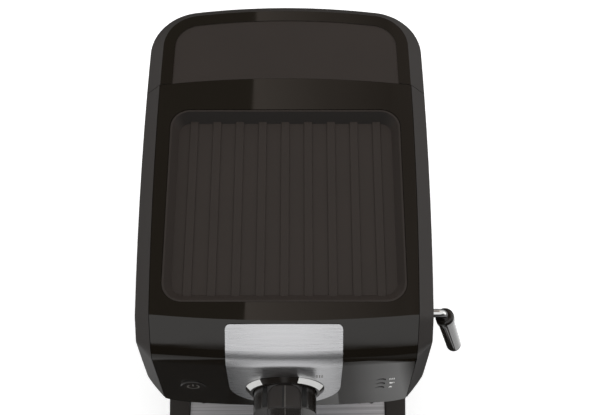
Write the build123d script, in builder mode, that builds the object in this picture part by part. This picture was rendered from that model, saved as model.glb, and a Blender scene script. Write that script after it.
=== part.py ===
"""Compact pump espresso machine: housing, water tank, brewing group, steam wand and drip tray.

Millimetres, +Z up, front towards -Y. The origin lies on the standing plane, on the centre plane,
midway between the four feet.
"""

import os
from math import cos, radians, sin, sqrt, tan

from build123d import *

# Plan of the housing
half_width = 100.0
widest_y = 15.0
side_bow = 3270.0
front_y = -138.0
front_bow = 950.0
rear_y = 138.0
rear_bow = 490.0
rear_corner = 37.5

# Heights of the housing
top_z = 297.0
head_bottom = 187.0
base_top = 60.0
foot_height = 6.0

# Bends of the head, seen from the side and from the front
crease_y = -116.0
facet_slope = 37.0
crease_round = 3.0
knee_round = 16.0
shoulder = 10.5
shoulder_round = 16.0
head_corner = 26.0

# Walls and seams
wall = 2.5
skin = 3.5
seam = 0.4
seat = 0.05
slide_gap = 0.3
running_gap = 0.05

# Column and base
column_y = -25.0
column_panel_half = 88.0
underside_half = 70.0
side_seam_y = 92.0
base_front_y = -142.0
base_corner = 14.0
base_floor = 3.0
flank = 15.0
foot_radius = 9.0
foot_bevel = 1.0
foot_x = 70.0
foot_y = 105.0

# Cup rest in the top
recess_width = 161.0
recess_length = 145.4
recess_centre_y = -29.6
recess_corner = 14.0
recess_depth = 7.0
recess_slope_x = 6.0
recess_slope_y = 7.7
tray_wall = 1.8
rib_count = 9
rib_pitch = 16.0
rib_width = 5.8
rib_height = 1.0

# Tank and its lid
lid_seam_y = 68.8
lid_seam_bow = 736.0
lid_skirt = 18.0
lid_rim = 8.5
inset_thickness = 1.6
inset_drop = 0.5
tank_half = 80.0
tank_front_y = 70.2
tank_rear_y = 126.5
tank_wall = 2.2
tank_corner = 9.0
dock_z = 106.0
dock_thickness = 4.0
hinge_y = 133.0
hinge_drop = 3.2
barrel_radius = 2.6
hinge_pin_radius = 1.4
knuckle = 10.0
knuckle_x = 20.0

# Control panel
plate_width = 76.0
plate_thickness = 0.8
plate_corner = 3.0
dial_z = 228.0
plate_arc_z = 231.0
bezel_radius = 27.0
bezel_top_radius = 24.0
bezel_height = 3.0
knob_radius = 21.5
knob_reach = 20.7
knob_bar = 23.0
knob_bar_rise = 0.4
knob_bar_proud = 1.5
knob_bar_corner = 4.5
shaft_radius = 3.0
button_x = -63.0
button_radius = 8.6
button_proud = 1.2
button_travel = 2.5
lens_x = 65.4
lens_pitch = 8.5
lens_radius = 2.8
lens_arc = 120.0
lens_band = 1.6
lens_proud = 0.3

# Brewing group and boiler
group_y = -72.0
group_radius = 38.0
group_low = 158.0
group_flange = 46.0
group_flange_thickness = 6.0
filter_holder_radius = 30.7
lug_radius = 34.4
lug_angle = 34.0
lug_thickness = 5.0
lock_turn = 45.0
gasket_thickness = 6.0
boiler_radius = 33.0
boiler_flange = 41.0
boiler_wall = 4.0
boiler_lower_height = 26.5
boiler_upper_height = 38.5
boiler_gasket_thickness = 1.5

# Filter holder
basket_depth = 24.0
handle_length = 112.0
handle_radius = 13.0
handle_z = 149.0

# Pump, hoses and wand
pump_radius = 19.0
pump_z = 45.0
hose_radius = 4.0
hose_bore = 2.5
wand_y = -86.7
wand_z = 237.0
wand_radius = 3.0
wand_bend_x = 110.6
wand_lean = 13.0
sleeve_start = 5.2
sleeve_length = 61.6
sleeve_cap_radius = 6.6
sleeve_top_radius = 5.8
sleeve_tip_radius = 5.4

# Drip tray
tray_height = 47.0
tray_wall_thickness = 2.2
grate_thickness = 1.5

# Spare length of a cutting block beyond the body that it cuts
spare = 40.0
sweep_angle = 12.0

os.makedirs("parts", exist_ok=True)


def finish(piece, name):
    """Label one finished piece and write its file."""
    piece.label = name
    export_step(piece, f"parts/{name}.step")


def block(x_range, y_range, z_range):
    """A plain box between three pairs of limits."""
    with BuildPart() as body:
        with BuildSketch(Plane.XY.offset(z_range[0])):
            with Locations(((x_range[0] + x_range[1]) / 2, (y_range[0] + y_range[1]) / 2)):
                Rectangle(x_range[1] - x_range[0], y_range[1] - y_range[0])
        extrude(amount=z_range[1] - z_range[0])
    return body.part


def disc(radius, x, y, low, high):
    """An upright cylinder between two heights."""
    with BuildPart() as body:
        with BuildSketch(Plane.XY.offset(low)):
            with Locations((x, y)):
                Circle(radius)
        extrude(amount=high - low)
    return body.part


def rod(radius, x, z, start, end):
    """A cylinder along Y from one depth to another."""
    with BuildPart() as body:
        with BuildSketch(Plane.XZ.offset(-start)):
            with Locations((x, z)):
                Circle(radius)
        extrude(amount=start - end)
    return body.part


def outline(inset, front):
    """Plan of the housing, drawn in from its sides, its corners and its back."""
    with BuildSketch() as plan:
        with Locations((half_width - side_bow, widest_y)):
            Circle(side_bow - inset)
        with Locations((side_bow - half_width, widest_y)):
            Circle(side_bow - inset, mode=Mode.INTERSECT)
        with Locations((0, rear_y - rear_bow)):
            Circle(rear_bow - inset, mode=Mode.INTERSECT)
        with Locations((0, front)):
            Rectangle(
                4 * half_width,
                2 * (rear_y - front),
                align=(Align.CENTER, Align.MIN),
                mode=Mode.INTERSECT,
            )
        fillet(plan.vertices().group_by(Axis.Y)[-1], rear_corner - inset)
    return plan.sketch


def prism(inset, low, high, corner=0.0):
    """The plan drawn in and carried up, with rounded lower side edges where a corner is given."""
    plan = outline(inset, front_y - spare)
    with BuildPart() as body:
        with BuildSketch(Plane.XY.offset(low)):
            add(plan)
        extrude(amount=high - low)
        if corner:
            low_edges = body.edges().group_by(Axis.Z)[0]
            fillet(low_edges.filter_by(lambda e: abs(e.center().X) > 0.9 * (half_width - inset)), corner)
    return body.part


def ribbon(depth, crease_bend, knee_bend):
    """Solid under the top, the facet and the bowed front, drawn in by a depth."""
    bow_y = front_y + front_bow
    turn = radians(-sweep_angle)
    side = Plane(
        origin=(0, bow_y, 0),
        x_dir=(sin(turn), -cos(turn), 0),
        z_dir=(-cos(turn), -sin(turn), 0),
    )
    slope = radians(facet_slope)
    crown_z = top_z - depth
    crease_r = bow_y - crease_y - depth * tan(slope / 2)
    front_r = front_bow - depth
    knee_z = crown_z - (front_r - crease_r) * tan(slope)
    back_r = bow_y - rear_y - spare
    low = base_top
    with BuildPart() as body:
        with BuildSketch(side) as face:
            with BuildLine():
                Polyline(
                    (back_r, crown_z),
                    (crease_r, crown_z),
                    (front_r, knee_z),
                    (front_r, low),
                    (back_r, low),
                    close=True,
                )
            make_face()
            bends = face.vertices().filter_by(lambda v: v.X > back_r + 1 and v.Y > low + 1)
            fillet(bends.sort_by(Axis.Y)[-1], max(crease_bend - depth, 1.0))
            bends = face.vertices().filter_by(lambda v: v.X > front_r - 1 and v.Y > low + 1)
            fillet(bends, max(knee_bend - depth, 1.0))
        revolve(axis=Axis((0, bow_y, 0), (0, 0, 1)), revolution_arc=2 * sweep_angle)
    return body.part


def ahead_of_seam(extra):
    """All that lies in front of the curved seam between the top and the tank's lid."""
    return disc(lid_seam_bow + extra, 0, lid_seam_y - lid_seam_bow, -spare, top_z + spare)


def front_at(x):
    """Depth of the bowed front face at a distance from the centre plane."""
    return front_y + front_bow - sqrt(front_bow**2 - x**2)


def side_at(y):
    """Half-width of the bowed side at a depth."""
    return half_width - side_bow + sqrt(side_bow**2 - (y - widest_y) ** 2)


# Outer form of head and column, before it is cut into its covers
lid_z = top_z - lid_skirt
wide = (-2 * half_width, 2 * half_width)
deep = (2 * front_y, 2 * rear_y)
shoulder_ribbon = ribbon(0, shoulder_round, shoulder_round)
head_block = prism(0, head_bottom, top_z + spare)
head_rounded = prism(0, head_bottom, top_z + spare, head_corner)
column_block = prism(0, base_top + seam, head_bottom + head_corner + wall)
behind_column_face = block(wide, (column_y, deep[1]), (0, top_z))

with BuildPart() as body_form:
    add(shoulder_ribbon)
    add(head_block, mode=Mode.INTERSECT)
    top_edges = body_form.edges().filter_by(lambda e: abs(e.center().Z - top_z) < seat)
    chamfer(top_edges.filter_by(lambda e: abs(e.center().X) > half_width - shoulder), shoulder)
    add(head_rounded, mode=Mode.INTERSECT)

with BuildPart() as column_form:
    add(column_block)
    add(behind_column_face, mode=Mode.INTERSECT)
    add(body_form.part)
outer_form = column_form.part

# Hollow inside the covers: beside the shoulders, under the gloss panel and down the column
head_room = prism(wall, head_bottom + wall, top_z, head_corner - wall)
panel_room = prism(shoulder + wall, head_bottom, top_z)
column_room = prism(wall, base_top - wall, head_bottom + head_corner + wall)
behind_column_panel = block(wide, (column_y + wall, deep[1]), (0, top_z))
shoulder_inside = ribbon(shoulder + wall, shoulder_round, shoulder_round)
panel_inside = ribbon(skin + seam, crease_round, knee_round)

with BuildPart() as head_hollow:
    add(panel_room)
    add(panel_inside, mode=Mode.INTERSECT)
    add(shoulder_inside)
    add(head_room, mode=Mode.INTERSECT)

with BuildPart() as hollow:
    add(column_room)
    add(behind_column_panel, mode=Mode.INTERSECT)
    add(head_hollow.part)

# Zones that belong to one cover each
gloss_prism = prism(shoulder, 0, top_z + spare)
gloss_prism_clear = prism(shoulder - seam, 0, top_z + spare)
ahead = ahead_of_seam(0)
ahead_clear = ahead_of_seam(seam)
ahead_wall = ahead_of_seam(seam + wall)
above_lid_seam = block(wide, deep, (lid_z, top_z + spare))
above_lid_clear = block(wide, deep, (lid_z - seam, top_z + spare))

with BuildPart() as gloss_zone:
    add(gloss_prism_clear)
    add(panel_inside, mode=Mode.SUBTRACT)

with BuildPart() as lid_zone:
    add(above_lid_seam)
    add(ahead_clear, mode=Mode.SUBTRACT)

with BuildPart() as lid_zone_clear:
    add(above_lid_clear)
    add(ahead, mode=Mode.SUBTRACT)

rear_zone = block(wide, (side_seam_y, deep[1]), (0, top_z + spare))
rear_zone_clear = block(wide, (side_seam_y + seam, deep[1]), (0, top_z + spare))
underside_zone = block(
    (-underside_half - seam, underside_half + seam),
    (deep[0], column_y + wall),
    (head_bottom - spare, head_bottom + wall),
)
column_panel_zone = block(
    (-column_panel_half - seam, column_panel_half + seam),
    (deep[0], column_y + wall),
    (0, head_bottom),
)

# Screws that hold the underside panel up against the side covers
screw_radius = 1.5
screw_head = 2.8
screw_head_height = 1.8
screw_clear = 0.2
flange_thickness = 3.0
flange_reach = 8.0
flange_z = head_bottom + wall + seat
screw_x = underside_half - flange_reach / 2
screw_ys = (front_y + 28.0, column_y - 15.0)
gland_radius = 8.0
gland_hole = gland_radius + seam


def side_cover(side):
    """One satin side cover: cheek of the head, shoulder, front corner and column side."""
    keep_side = block(
        (0, wide[1]) if side > 0 else (wide[0], 0),
        deep,
        (0, top_z + spare),
    )
    flange_x = sorted((side * (underside_half - flange_reach), side * (underside_half + flange_reach)))
    flange = block(
        flange_x,
        (screw_ys[0] - flange_reach, screw_ys[1] + flange_reach),
        (flange_z, flange_z + flange_thickness),
    )
    with BuildPart() as cover:
        add(outer_form)
        add(hollow.part, mode=Mode.SUBTRACT)
        add(gloss_zone.part, mode=Mode.SUBTRACT)
        add(lid_zone_clear.part, mode=Mode.SUBTRACT)
        add(rear_zone, mode=Mode.SUBTRACT)
        add(underside_zone, mode=Mode.SUBTRACT)
        add(column_panel_zone, mode=Mode.SUBTRACT)
        add(keep_side, mode=Mode.INTERSECT)
        add(flange)
        with BuildSketch(Plane.XY.offset(flange_z)):
            with Locations(*[(side * screw_x, y) for y in screw_ys]):
                Circle(screw_radius + running_gap)
        extrude(amount=flange_thickness, mode=Mode.SUBTRACT)
        if side > 0:
            with BuildSketch(Plane.YZ.offset(half_width / 2)):
                with Locations((wand_y, wand_z)):
                    Circle(gland_hole)
            extrude(amount=half_width, mode=Mode.SUBTRACT)
    return cover.part


finish(side_cover(-1), "left_side_cover")
finish(side_cover(1), "right_side_cover")

# Back shell below the lid, with a gap for the lid's hinge, vents and the hole for the mains lead
gland_z = 80.0
cord_hole_radius = 7.0
vent_count = 7
vent_pitch = 7.0
vent_width = 50.0
vent_height = 2.6
vent_z = 190.0
hinge_z = lid_z - hinge_drop
hinge_swing = sqrt((rear_y - hinge_y) ** 2 + hinge_drop**2)
hinge_gap_half = knuckle_x + 2 * knuckle + 4.0
hinge_relief_half = hinge_gap_half + 20.0
hinge_relief_depth = 2.2
hinge_gap = block(
    (-hinge_gap_half, hinge_gap_half),
    (hinge_y - 2 * hinge_swing, deep[1]),
    (hinge_z - hinge_swing - slide_gap, top_z),
)
hinge_relief = block(
    (-hinge_relief_half, hinge_relief_half),
    (hinge_y - 2 * hinge_swing, deep[1]),
    (lid_z - seam - hinge_relief_depth, top_z),
)

with BuildPart() as rear_cover:
    add(outer_form)
    add(hollow.part, mode=Mode.SUBTRACT)
    add(rear_zone_clear, mode=Mode.INTERSECT)
    add(above_lid_clear, mode=Mode.SUBTRACT)
    add(hinge_gap, mode=Mode.SUBTRACT)
    add(hinge_relief, mode=Mode.SUBTRACT)
    with BuildSketch(Plane.XZ.offset(-rear_y / 2)):
        with Locations((0, gland_z)):
            Circle(cord_hole_radius + seam)
        with Locations((0, vent_z)):
            with GridLocations(0, vent_pitch, 1, vent_count):
                SlotOverall(vent_width, vent_height)
    extrude(amount=-rear_y, mode=Mode.SUBTRACT)
finish(rear_cover.part, "rear_cover")

# Flat panel at the back of the cup bay
with BuildPart() as column_front:
    with BuildSketch(Plane.XY.offset(base_top + seam)):
        with Locations((0, column_y + wall / 2)):
            Rectangle(2 * column_panel_half, wall)
    extrude(amount=head_bottom - base_top - 2 * seam)
finish(column_front.part, "column_front")

# Panel under the head, with the hole for the brewing group
underside_block = block(
    (-underside_half, underside_half),
    (deep[0], column_y + wall),
    (head_bottom, head_bottom + wall),
)
with BuildPart() as head_underside:
    add(underside_block)
    add(panel_inside, mode=Mode.INTERSECT)
    with BuildSketch(Plane.XY.offset(head_bottom)):
        with Locations((0, group_y)):
            Circle(group_radius + seam)
        with Locations(*[(side * screw_x, y) for side in (-1, 1) for y in screw_ys]):
            Circle(screw_radius + screw_clear)
    extrude(amount=wall, mode=Mode.SUBTRACT)
finish(head_underside.part, "head_underside")

with BuildPart() as underside_screws:
    with BuildSketch(Plane.XY.offset(head_bottom - seat)):
        with Locations(*[(side * screw_x, y) for side in (-1, 1) for y in screw_ys]):
            Circle(screw_head)
    extrude(amount=-screw_head_height)
    with BuildSketch(Plane.XY.offset(head_bottom - seat)):
        with Locations(*[(side * screw_x, y) for side in (-1, 1) for y in screw_ys]):
            Circle(screw_radius)
    extrude(amount=wall + flange_thickness + seat)
finish(underside_screws.part, "underside_screws")

# Gloss panel that runs over the top, the facet and the front in one piece
panel_outer = ribbon(0, crease_round, knee_round)
panel_inner = ribbon(skin, crease_round, knee_round)
shaft_hole = shaft_radius + seam
button_hole = button_radius + slide_gap
button_rim = 1.5
button_boss = button_hole + 3.5
button_well = button_boss - 2.0
button_back_y = front_at(button_x) + skin
boss_depth = 5.4
lamp_boss = 3.0
lamp_boss_offset = 16.0
lamp_boss_depth = 6.4
lens_back_y = front_at(lens_x) + skin
lens_z = dial_z + 3.5
lens_zs = [lens_z + step * lens_pitch for step in (-1, 0, 1)]
lens_curve = CenterArc((0, 0), lens_radius, 90 - lens_arc / 2, lens_arc)
button_hub = rod(button_boss, button_x, dial_z, button_back_y + boss_depth, front_y)
button_space = rod(button_well, button_x, dial_z, button_back_y + boss_depth, button_back_y)
lamp_bosses = [
    rod(lamp_boss, lens_x, lens_z + step * lamp_boss_offset, lens_back_y + lamp_boss_depth, front_y)
    for step in (-1, 1)
]

with BuildPart() as top_fascia:
    add(panel_outer)
    add(panel_inner, mode=Mode.SUBTRACT)
    add(button_hub)
    add(lamp_bosses)
    add(panel_outer, mode=Mode.INTERSECT)
    add(head_rounded, mode=Mode.INTERSECT)
    add(gloss_prism, mode=Mode.INTERSECT)
    add(ahead, mode=Mode.INTERSECT)
    add(button_space, mode=Mode.SUBTRACT)
    with BuildSketch(Plane.XY.offset(top_z)):
        with Locations((0, recess_centre_y)):
            RectangleRounded(recess_width, recess_length, recess_corner)
    extrude(amount=-spare, mode=Mode.SUBTRACT)
    with BuildSketch(Plane.XZ.offset(-front_y)):
        with Locations((0, dial_z)):
            Circle(shaft_hole)
        with Locations((button_x, dial_z)):
            Circle(button_hole)
        with Locations(*[(lens_x, z - lens_radius) for z in lens_zs]):
            SlotArc(lens_curve, lens_band + 2 * seat)
    extrude(amount=-skin - 3 * button_rim, mode=Mode.SUBTRACT)
finish(top_fascia.part, "top_fascia")

# Ribbed cup rest dropped into the panel, held by a flange under the panel's edge
tray_top = top_z - seam
tray_floor = top_z - recess_depth
tray_low = tray_floor - tray_wall
rest_width = recess_width - 2 * slide_gap
rest_length = recess_length - 2 * slide_gap
floor_width = recess_width - 2 * recess_slope_x
floor_length = recess_length - 2 * recess_slope_y
rest_lip = 1.2
floor_corner = recess_corner - recess_slope_x
flange_width = 3.0

with BuildPart() as cup_tray:
    with BuildSketch(Plane.XY.offset(tray_top)):
        with Locations((0, recess_centre_y)):
            RectangleRounded(rest_width, rest_length, recess_corner - slide_gap)
    with BuildSketch(Plane.XY.offset(tray_low)):
        with Locations((0, recess_centre_y)):
            RectangleRounded(
                floor_width + 2 * tray_wall,
                floor_length + 2 * tray_wall,
                floor_corner + tray_wall,
            )
    loft(ruled=True)
    with BuildSketch(Plane.XY.offset(top_z - skin - slide_gap)):
        with Locations((0, recess_centre_y)):
            RectangleRounded(
                recess_width + 2 * flange_width,
                recess_length + 2 * flange_width,
                recess_corner + flange_width,
            )
    extrude(amount=-tray_wall)
    with BuildSketch(Plane.XY.offset(tray_top)):
        with Locations((0, recess_centre_y)):
            RectangleRounded(
                rest_width - 2 * rest_lip,
                rest_length - 2 * rest_lip,
                recess_corner - rest_lip,
            )
    with BuildSketch(Plane.XY.offset(tray_floor)):
        with Locations((0, recess_centre_y)):
            RectangleRounded(floor_width, floor_length, floor_corner)
    loft(ruled=True, mode=Mode.SUBTRACT)
    with BuildSketch(Plane.XY.offset(tray_floor)):
        with Locations((0, recess_centre_y)):
            with GridLocations(rib_pitch, 0, rib_count, 1):
                Rectangle(rib_width, floor_length + 2 * rest_lip)
    extrude(amount=rib_height)
    rib_tops = cup_tray.faces().filter_by(lambda f: abs(f.center().Z - tray_floor - rib_height) < seat)
    fillet(rib_tops.edges().filter_by(Axis.Y), rib_height / 2)
finish(cup_tray.part, "cup_tray")

# Brushed steel plate that follows the facet and the front down to a round end about the knob
plate_outer = ribbon(-seat - plate_thickness, crease_round, knee_round)
plate_inner = ribbon(-seat, crease_round, knee_round)
plate_margin = 1.5
plate_top_y = crease_y - plate_margin
plate_length = 4 * plate_width

with BuildPart() as front_plate:
    add(plate_outer)
    add(plate_inner, mode=Mode.SUBTRACT)
    with BuildSketch(Plane.XY.offset(base_top)):
        with Locations((0, plate_top_y - plate_length / 2)):
            RectangleRounded(plate_width, plate_length, plate_corner)
    extrude(amount=top_z, mode=Mode.INTERSECT)
    with BuildSketch(Plane.XZ.offset(-deep[0])):
        with Locations((0, plate_arc_z)):
            Circle(plate_width / 2)
            Rectangle(plate_width, top_z, align=(Align.CENTER, Align.MIN))
        with Locations((0, dial_z)):
            Circle(shaft_hole, mode=Mode.SUBTRACT)
    extrude(amount=deep[0], mode=Mode.INTERSECT)
finish(front_plate.part, "front_plate")

# Dial ring on the plate, and the knob with its shaft
ring_y = front_y - plate_thickness - 2 * seat
knob_gap = 0.8
knob_edge = 0.5
knob_back_y = ring_y - slide_gap
knob_front_y = front_y - knob_reach
knob_bar_back_y = ring_y - bezel_height
shaft_end_y = knob_front_y + 5.0
valve_depth = 16.0
shaft_back_y = front_y + skin + valve_depth / 2

with BuildPart() as knob_bezel:
    with BuildSketch(Plane.YZ):
        with BuildLine():
            Polyline(
                (ring_y, dial_z + knob_radius + knob_gap),
                (ring_y, dial_z + bezel_radius),
                (ring_y - bezel_height, dial_z + bezel_top_radius),
                (ring_y - bezel_height, dial_z + knob_radius + knob_gap),
                close=True,
            )
        make_face()
    revolve(axis=Axis((0, 0, dial_z), (0, 1, 0)))
finish(knob_bezel.part, "knob_bezel")

knob_bar_ring = rod(knob_radius + knob_bar_rise, 0, dial_z, knob_bar_back_y, knob_front_y)
with BuildPart() as knob_grip:
    add(knob_bar_ring)
    with BuildSketch(Plane.XY.offset(dial_z - 2 * knob_radius)):
        with Locations((0, knob_front_y - knob_bar_corner)):
            RectangleRounded(knob_bar, 2 * (knob_bar_back_y - knob_front_y + knob_bar_corner), knob_bar_corner)
    extrude(amount=4 * knob_radius, mode=Mode.INTERSECT)

with BuildPart() as knob:
    with BuildSketch(Plane.XZ.offset(-knob_back_y)):
        with Locations((0, dial_z)):
            Circle(knob_radius)
    extrude(amount=knob_back_y - knob_front_y - knob_bar_proud)
    fillet(knob.faces().sort_by(Axis.Y)[0].edges(), knob_edge)
    add(knob_grip.part)
    fillet(knob.faces().sort_by(Axis.Y)[0].edges(), knob_edge)
    with BuildSketch(Plane.XZ.offset(-knob_back_y)):
        with Locations((0, dial_z)):
            Circle(shaft_radius + running_gap)
    extrude(amount=knob_back_y - shaft_end_y, mode=Mode.SUBTRACT)
finish(knob.part, "knob")

knob_shaft = rod(shaft_radius, 0, dial_z, shaft_back_y, shaft_end_y + seat)
finish(knob_shaft, "knob_shaft")

# Push button, its switch, the lamp lenses and the small board behind them
button_front_y = front_at(button_x) - button_proud
button_flange_y = button_back_y + slide_gap
stem_radius = 2.4
switch_y = button_back_y + boss_depth + seat
switch_size = 20.0
switch_depth = 14.0
stem_end_y = switch_y + 1.0
stem_bore_depth = button_travel + 2.0
blade = 0.8
blade_width = 4.8
blade_length = 7.0

with BuildPart() as power_button:
    with BuildSketch(Plane.XZ.offset(-button_flange_y)):
        with Locations((button_x, dial_z)):
            Circle(button_radius)
    extrude(amount=button_flange_y - button_front_y)
    fillet(power_button.faces().sort_by(Axis.Y)[0].edges(), button_proud / 2)
    with BuildSketch(Plane.XZ.offset(-button_flange_y)):
        with Locations((button_x, dial_z)):
            Circle(button_radius + button_rim - slide_gap)
    extrude(amount=-button_rim)
    with BuildSketch(Plane.XZ.offset(-button_flange_y)):
        with Locations((button_x, dial_z)):
            Circle(stem_radius)
    extrude(amount=button_flange_y - stem_end_y)
finish(power_button.part, "power_button")

with BuildPart() as power_switch:
    with BuildSketch(Plane.XZ.offset(-switch_y)):
        with Locations((button_x, dial_z)):
            Rectangle(2 * button_boss, 2 * button_boss)
    extrude(amount=-wall)
    with BuildSketch(Plane.XZ.offset(-switch_y)):
        with Locations((button_x, dial_z)):
            Rectangle(switch_size, switch_size)
    extrude(amount=-switch_depth)
    with BuildSketch(Plane.XZ.offset(-switch_y)):
        with Locations((button_x, dial_z)):
            Circle(stem_radius + slide_gap)
    extrude(amount=-stem_bore_depth, mode=Mode.SUBTRACT)
    with BuildSketch(Plane.XZ.offset(-switch_y - switch_depth)):
        with Locations((button_x, dial_z)):
            with GridLocations(switch_size / 2, switch_size / 2, 2, 2):
                Rectangle(blade, blade_width)
    extrude(amount=-blade_length)
finish(power_switch.part, "power_switch")

with BuildPart() as indicator_lenses:
    with BuildSketch(Plane.XZ.offset(-lens_back_y)):
        with Locations(*[(lens_x, z - lens_radius) for z in lens_zs]):
            SlotArc(lens_curve, lens_band)
    extrude(amount=skin + lens_proud)
    fillet(indicator_lenses.edges().group_by(Axis.Y)[0], lens_proud)
finish(indicator_lenses.part, "indicator_lenses")

lamp_board_y = lens_back_y + lamp_boss_depth + seat
board_width = 22.0
board_thickness = 1.6
lamp_radius = 1.5
with BuildPart() as lamp_board:
    with BuildSketch(Plane.XZ.offset(-lamp_board_y)):
        with Locations((lens_x, lens_z)):
            Rectangle(board_width, 2 * lamp_boss_offset + 3 * lamp_boss)
    extrude(amount=-board_thickness)
    with BuildSketch(Plane.XZ.offset(-lamp_board_y)):
        with Locations(*[(lens_x, z) for z in lens_zs]):
            Circle(lamp_radius)
    extrude(amount=lamp_boss_depth - 2 * lens_proud)
finish(lamp_board.part, "lamp_board")

# Base moulding: floor, tray bay between two flanks, and the well below the column
bay_half = side_at(base_front_y) - flank
bay_back_y = column_y
floor_top = foot_height + base_floor
flank_wall = 3.0
base_edge = 1.0


def base_outline(inset):
    """Plan of the base: the housing's plan with a bowed front and rounded front corners."""
    plan = outline(inset, base_front_y - spare)
    with BuildSketch() as base_plan:
        add(plan)
        with Locations((0, base_front_y + front_bow)):
            Circle(front_bow - inset, mode=Mode.INTERSECT)
        fillet(base_plan.vertices().group_by(Axis.Y)[0], base_corner - inset)
    return base_plan.sketch


base_plan = base_outline(0)
base_inner_plan = outline(wall, column_y + wall)

with BuildPart() as base_pan:
    with BuildSketch(Plane.XY.offset(foot_height)):
        add(base_plan)
    extrude(amount=base_top - foot_height)
    with BuildSketch(Plane.XY.offset(floor_top)):
        with Locations((0, bay_back_y)):
            Rectangle(2 * bay_half, rear_y - front_y, align=(Align.CENTER, Align.MAX))
    extrude(amount=base_top, mode=Mode.SUBTRACT)
    with BuildSketch(Plane.XY.offset(floor_top)):
        add(base_inner_plan)
    extrude(amount=base_top, mode=Mode.SUBTRACT)
    for side in (-1, 1):
        with BuildSketch(Plane.XY.offset(foot_height)):
            with Locations((side * (bay_half + flank / 2), (base_front_y + base_corner + bay_back_y) / 2)):
                Rectangle(flank - 2 * flank_wall, bay_back_y - base_front_y - base_corner - 2 * flank_wall)
        extrude(amount=base_top - foot_height - flank_wall, mode=Mode.SUBTRACT)
    flank_edges = base_pan.faces().sort_by(Axis.Z)[-1].edges()
    fillet(flank_edges.filter_by(lambda e: e.center().Y < column_y - 1), base_edge)
finish(base_pan.part, "base_pan")

with BuildPart() as rubber_feet:
    with BuildSketch(Plane.XY):
        with GridLocations(2 * foot_x, 2 * foot_y, 2, 2):
            Circle(foot_radius)
    extrude(amount=foot_height - seat)
    chamfer(rubber_feet.edges().group_by(Axis.Z)[0], foot_bevel)
finish(rubber_feet.part, "rubber_feet")

# Drip tray that slides out to the front, and the steel grate that lies on it
tray_front_wall = tray_wall_thickness + 2.0
tray_half = bay_half - slide_gap
tray_back_y = bay_back_y - seam
tray_low_z = floor_top + slide_gap
tray_top_z = tray_low_z + tray_height
grate_z = tray_top_z + seat
grate_margin = 1.0
tray_plan = base_outline(seat)
tray_inner_plan = base_outline(tray_front_wall)
grate_plan = base_outline(grate_margin)
grate_lip_plan = base_outline(tray_front_wall + slide_gap)
slot_length = 21.0
slot_shift = 3.5
slot_width = 4.0
slot_pitch_x = 10.0
slot_pitch_y = 32.0
slot_columns = 15
slot_rows = 3
grate_lip = 4.0
grate_centre_y = (base_front_y + bay_back_y) / 2


def tray_limits(inset):
    """The bay's straight sides and back as a rectangle, drawn in."""
    with BuildSketch() as limits:
        with Locations((0, tray_back_y - inset)):
            Rectangle(2 * (tray_half - inset), rear_y - front_y, align=(Align.CENTER, Align.MAX))
    return limits.sketch


tray_rect = tray_limits(0)
tray_inner_rect = tray_limits(tray_wall_thickness)
grate_rect = tray_limits(slide_gap)
grate_lip_rect = tray_limits(tray_wall_thickness + slide_gap)
grate_hollow_rect = tray_limits(2 * tray_wall_thickness + slide_gap)
grate_hollow_plan = base_outline(tray_front_wall + tray_wall_thickness + slide_gap)

with BuildPart() as drip_tray:
    with BuildSketch(Plane.XY.offset(tray_low_z)):
        add(tray_plan)
        add(tray_rect, mode=Mode.INTERSECT)
    extrude(amount=tray_height)
    with BuildSketch(Plane.XY.offset(tray_low_z + tray_wall_thickness)):
        add(tray_inner_plan)
        add(tray_inner_rect, mode=Mode.INTERSECT)
    extrude(amount=tray_height, mode=Mode.SUBTRACT)
finish(drip_tray.part, "drip_tray")

with BuildPart() as drip_grate:
    with BuildSketch(Plane.XY.offset(grate_z)):
        add(grate_plan)
        add(grate_rect, mode=Mode.INTERSECT)
        with Locations((0, grate_centre_y - slot_shift)):
            with GridLocations(slot_pitch_x, slot_pitch_y, slot_columns, slot_rows):
                SlotOverall(slot_length, slot_width, rotation=90, mode=Mode.SUBTRACT)
    extrude(amount=grate_thickness)
    with BuildSketch(Plane.XY.offset(grate_z - grate_lip)):
        add(grate_lip_plan)
        add(grate_lip_rect, mode=Mode.INTERSECT)
        add(grate_hollow_plan & grate_hollow_rect, mode=Mode.SUBTRACT)
    extrude(amount=grate_lip)
finish(drip_grate.part, "drip_grate")

# Shelf for the tank, with the spigot that opens the tank's valve and feeds the pump
tank_floor_z = dock_z + dock_thickness + slide_gap
tank_top_z = lid_z - slide_gap
valve_y = (tank_front_y + tank_rear_y) / 2 + 2.0
spigot_radius = 6.0
spigot_height = 9.0
spigot_bore = 2.0
stub_radius = hose_bore - running_gap
stub_bore = stub_radius - 1.0
stub_length = 12.0
dock_margin = 6.0
dock_plan = outline(wall + slide_gap, tank_front_y - dock_margin)
leg_size = 8.0
leg_x = tank_half
leg_y = tank_front_y

with BuildPart() as tank_dock:
    with BuildSketch(Plane.XY.offset(dock_z)):
        add(dock_plan)
    extrude(amount=dock_thickness)
    with BuildSketch(Plane.XY.offset(dock_z)):
        with Locations((-leg_x, leg_y), (leg_x, leg_y)):
            Rectangle(leg_size, leg_size)
    extrude(amount=floor_top + seat - dock_z)
    with BuildSketch(Plane.XY.offset(dock_z)):
        with Locations((0, valve_y)):
            Circle(spigot_radius)
    extrude(amount=dock_thickness + spigot_height)
    with BuildSketch(Plane.XY.offset(dock_z)):
        with Locations((0, valve_y)):
            Circle(stub_radius)
    extrude(amount=-stub_length)
    with BuildSketch(Plane.XY.offset(dock_z - stub_length)):
        with Locations((0, valve_y)):
            Circle(stub_bore)
    extrude(amount=stub_length + dock_thickness + spigot_height, mode=Mode.SUBTRACT)
finish(tank_dock.part, "tank_dock")

# Clear water tank with a valve in its floor and hinge knuckles behind its rim
valve_radius = 9.0
valve_flange = 12.0
valve_bore = spigot_radius + slide_gap
valve_height = 14.0


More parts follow.
